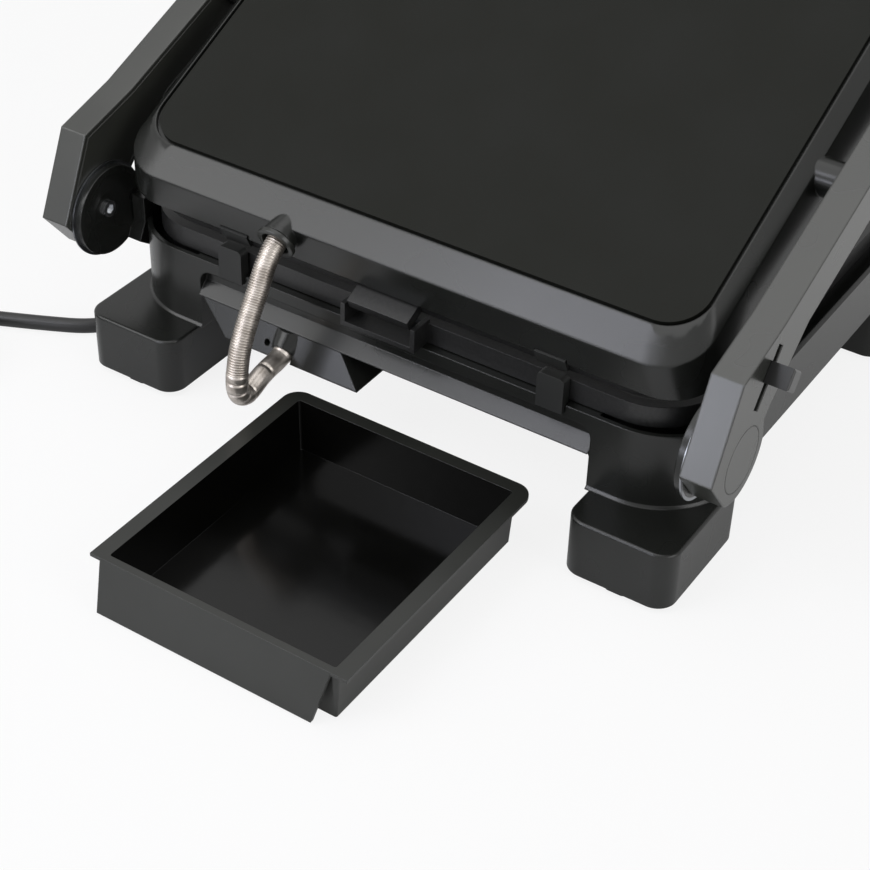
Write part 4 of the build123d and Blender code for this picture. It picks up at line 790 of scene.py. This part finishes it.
# Name, place, aim, width and height, watts and tint of each lamp: left and right as the camera sees them
LAMPS = (
    ("overhead_lamp", (0.15, 0.1, 1.6), (0, 0, 0.1), (1.6, 1.6), 10, "#ffffff"),
    ("softbox", (0.31, 0.85, 0.96), (0, 0.05, 0.12), (0.34, 0.34), 2.4, "#f0f2ff"),
    ("low_softbox", (0.45, 1.5, 0.38), (0, 0.12, 0.08), (0.7, 0.28), 4.6, "#eef1ff"),
    ("left_lamp", (1.1, 1.2, 1.1), (0, 0, 0.1), (0.9, 0.9), 9, "#ffffff"),
    ("right_lamp", (-1.5, 0.3, 0.8), (0, 0, 0.1), (0.9, 0.9), 7, "#ffffff"),
)


def make_floor():
    """A white floor that shows white to the camera and still takes the shadow, with a painted glow in
    reflections towards the grill's left.
    """
    material, tree, output = new_material("studio_floor")
    path = add_node(tree, "ShaderNodeLightPath")
    seen = add_node(tree, "ShaderNodeMath", {"operation": "MULTIPLY"}, {1: FLOOR_WHITE},
                    {0: path.outputs["Is Camera Ray"]})
    place = add_node(tree, "ShaderNodeTexCoord")
    apart = add_node(tree, "ShaderNodeSeparateXYZ", links={"Vector": place.outputs["Object"]})
    # Painted light: how much white glow reflections see, rising along X towards the grill's left
    painted_glow_along_x = add_node(tree, "ShaderNodeMapRange", {"interpolation_type": "SMOOTHSTEP"},
                        {"From Min": MIRRORED_FROM, "From Max": MIRRORED_TO,
                         "To Min": MIRRORED_LEAST, "To Max": MIRRORED_MOST},
                        {"Value": apart.outputs["X"]})
    mirrored = add_node(tree, "ShaderNodeMath", {"operation": "MULTIPLY"},
                        links={0: path.outputs["Is Glossy Ray"], 1: painted_glow_along_x.outputs["Result"]})
    share = add_node(tree, "ShaderNodeMath", {"operation": "MAXIMUM"},
                     links={0: seen.outputs[0], 1: mirrored.outputs[0]})
    plain = add_node(tree, "ShaderNodeBsdfDiffuse", values={"Color": hex_to_linear(FLOOR_COLOUR)})
    white = add_node(tree, "ShaderNodeEmission", values={"Strength": 1.0})
    mixed = add_node(tree, "ShaderNodeMixShader",
                     links={0: share.outputs[0], 1: plain.outputs[0], 2: white.outputs[0]})
    tree.links.new(mixed.outputs[0], output.inputs["Surface"])
    mesh = bpy.data.meshes.new("studio_floor")
    corners = [(x * FLOOR_REACH, y * FLOOR_REACH, 0) for x, y in ((-1, -1), (1, -1), (1, 1), (-1, 1))]
    mesh.from_pydata(corners, [], [(0, 1, 2, 3)])
    add_object("studio_floor", mesh, material)


def make_surround():
    """A surround that is white to the camera, in reflections and through lenses, and lights dimly."""
    world = bpy.data.worlds.new("white_surround")
    bpy.context.scene.world = world
    world.use_nodes = True
    tree = world.node_tree
    tree.nodes.clear()
    path = add_node(tree, "ShaderNodeLightPath")
    direct = add_node(tree, "ShaderNodeMath", {"operation": "MAXIMUM"},
                      links={0: path.outputs["Is Camera Ray"], 1: path.outputs["Is Glossy Ray"]})
    seen = add_node(tree, "ShaderNodeMath", {"operation": "MAXIMUM"},
                    links={0: direct.outputs[0], 1: path.outputs["Is Transmission Ray"]})
    dim = add_node(tree, "ShaderNodeBackground", values={"Strength": SURROUND_LIGHT})
    white = add_node(tree, "ShaderNodeBackground", values={"Strength": 1.0})
    mixed = add_node(tree, "ShaderNodeMixShader",
                     links={0: seen.outputs[0], 1: dim.outputs[0], 2: white.outputs[0]})
    ending = add_node(tree, "ShaderNodeOutputWorld")
    tree.links.new(mixed.outputs[0], ending.inputs["Surface"])


def make_lamp(name, place, target, size, power, tint):
    """A soft rectangular lamp aimed at a point."""
    data = bpy.data.lights.new(name, "AREA")
    data.shape = "RECTANGLE"
    data.size, data.size_y = size
    data.energy = power
    data.color = hex_to_linear(tint)[:3]
    lamp = bpy.data.objects.new(name, data)
    bpy.context.scene.collection.objects.link(lamp)
    aim = Vector(target) - Vector(place)
    lamp.matrix_world = Matrix.Translation(place) @ aim.to_track_quat("-Z", "Y").to_matrix().to_4x4()


make_floor()
make_surround()
for lamp_row in LAMPS:
    make_lamp(*lamp_row)

scene = bpy.context.scene
scene.view_settings.view_transform = "Standard"
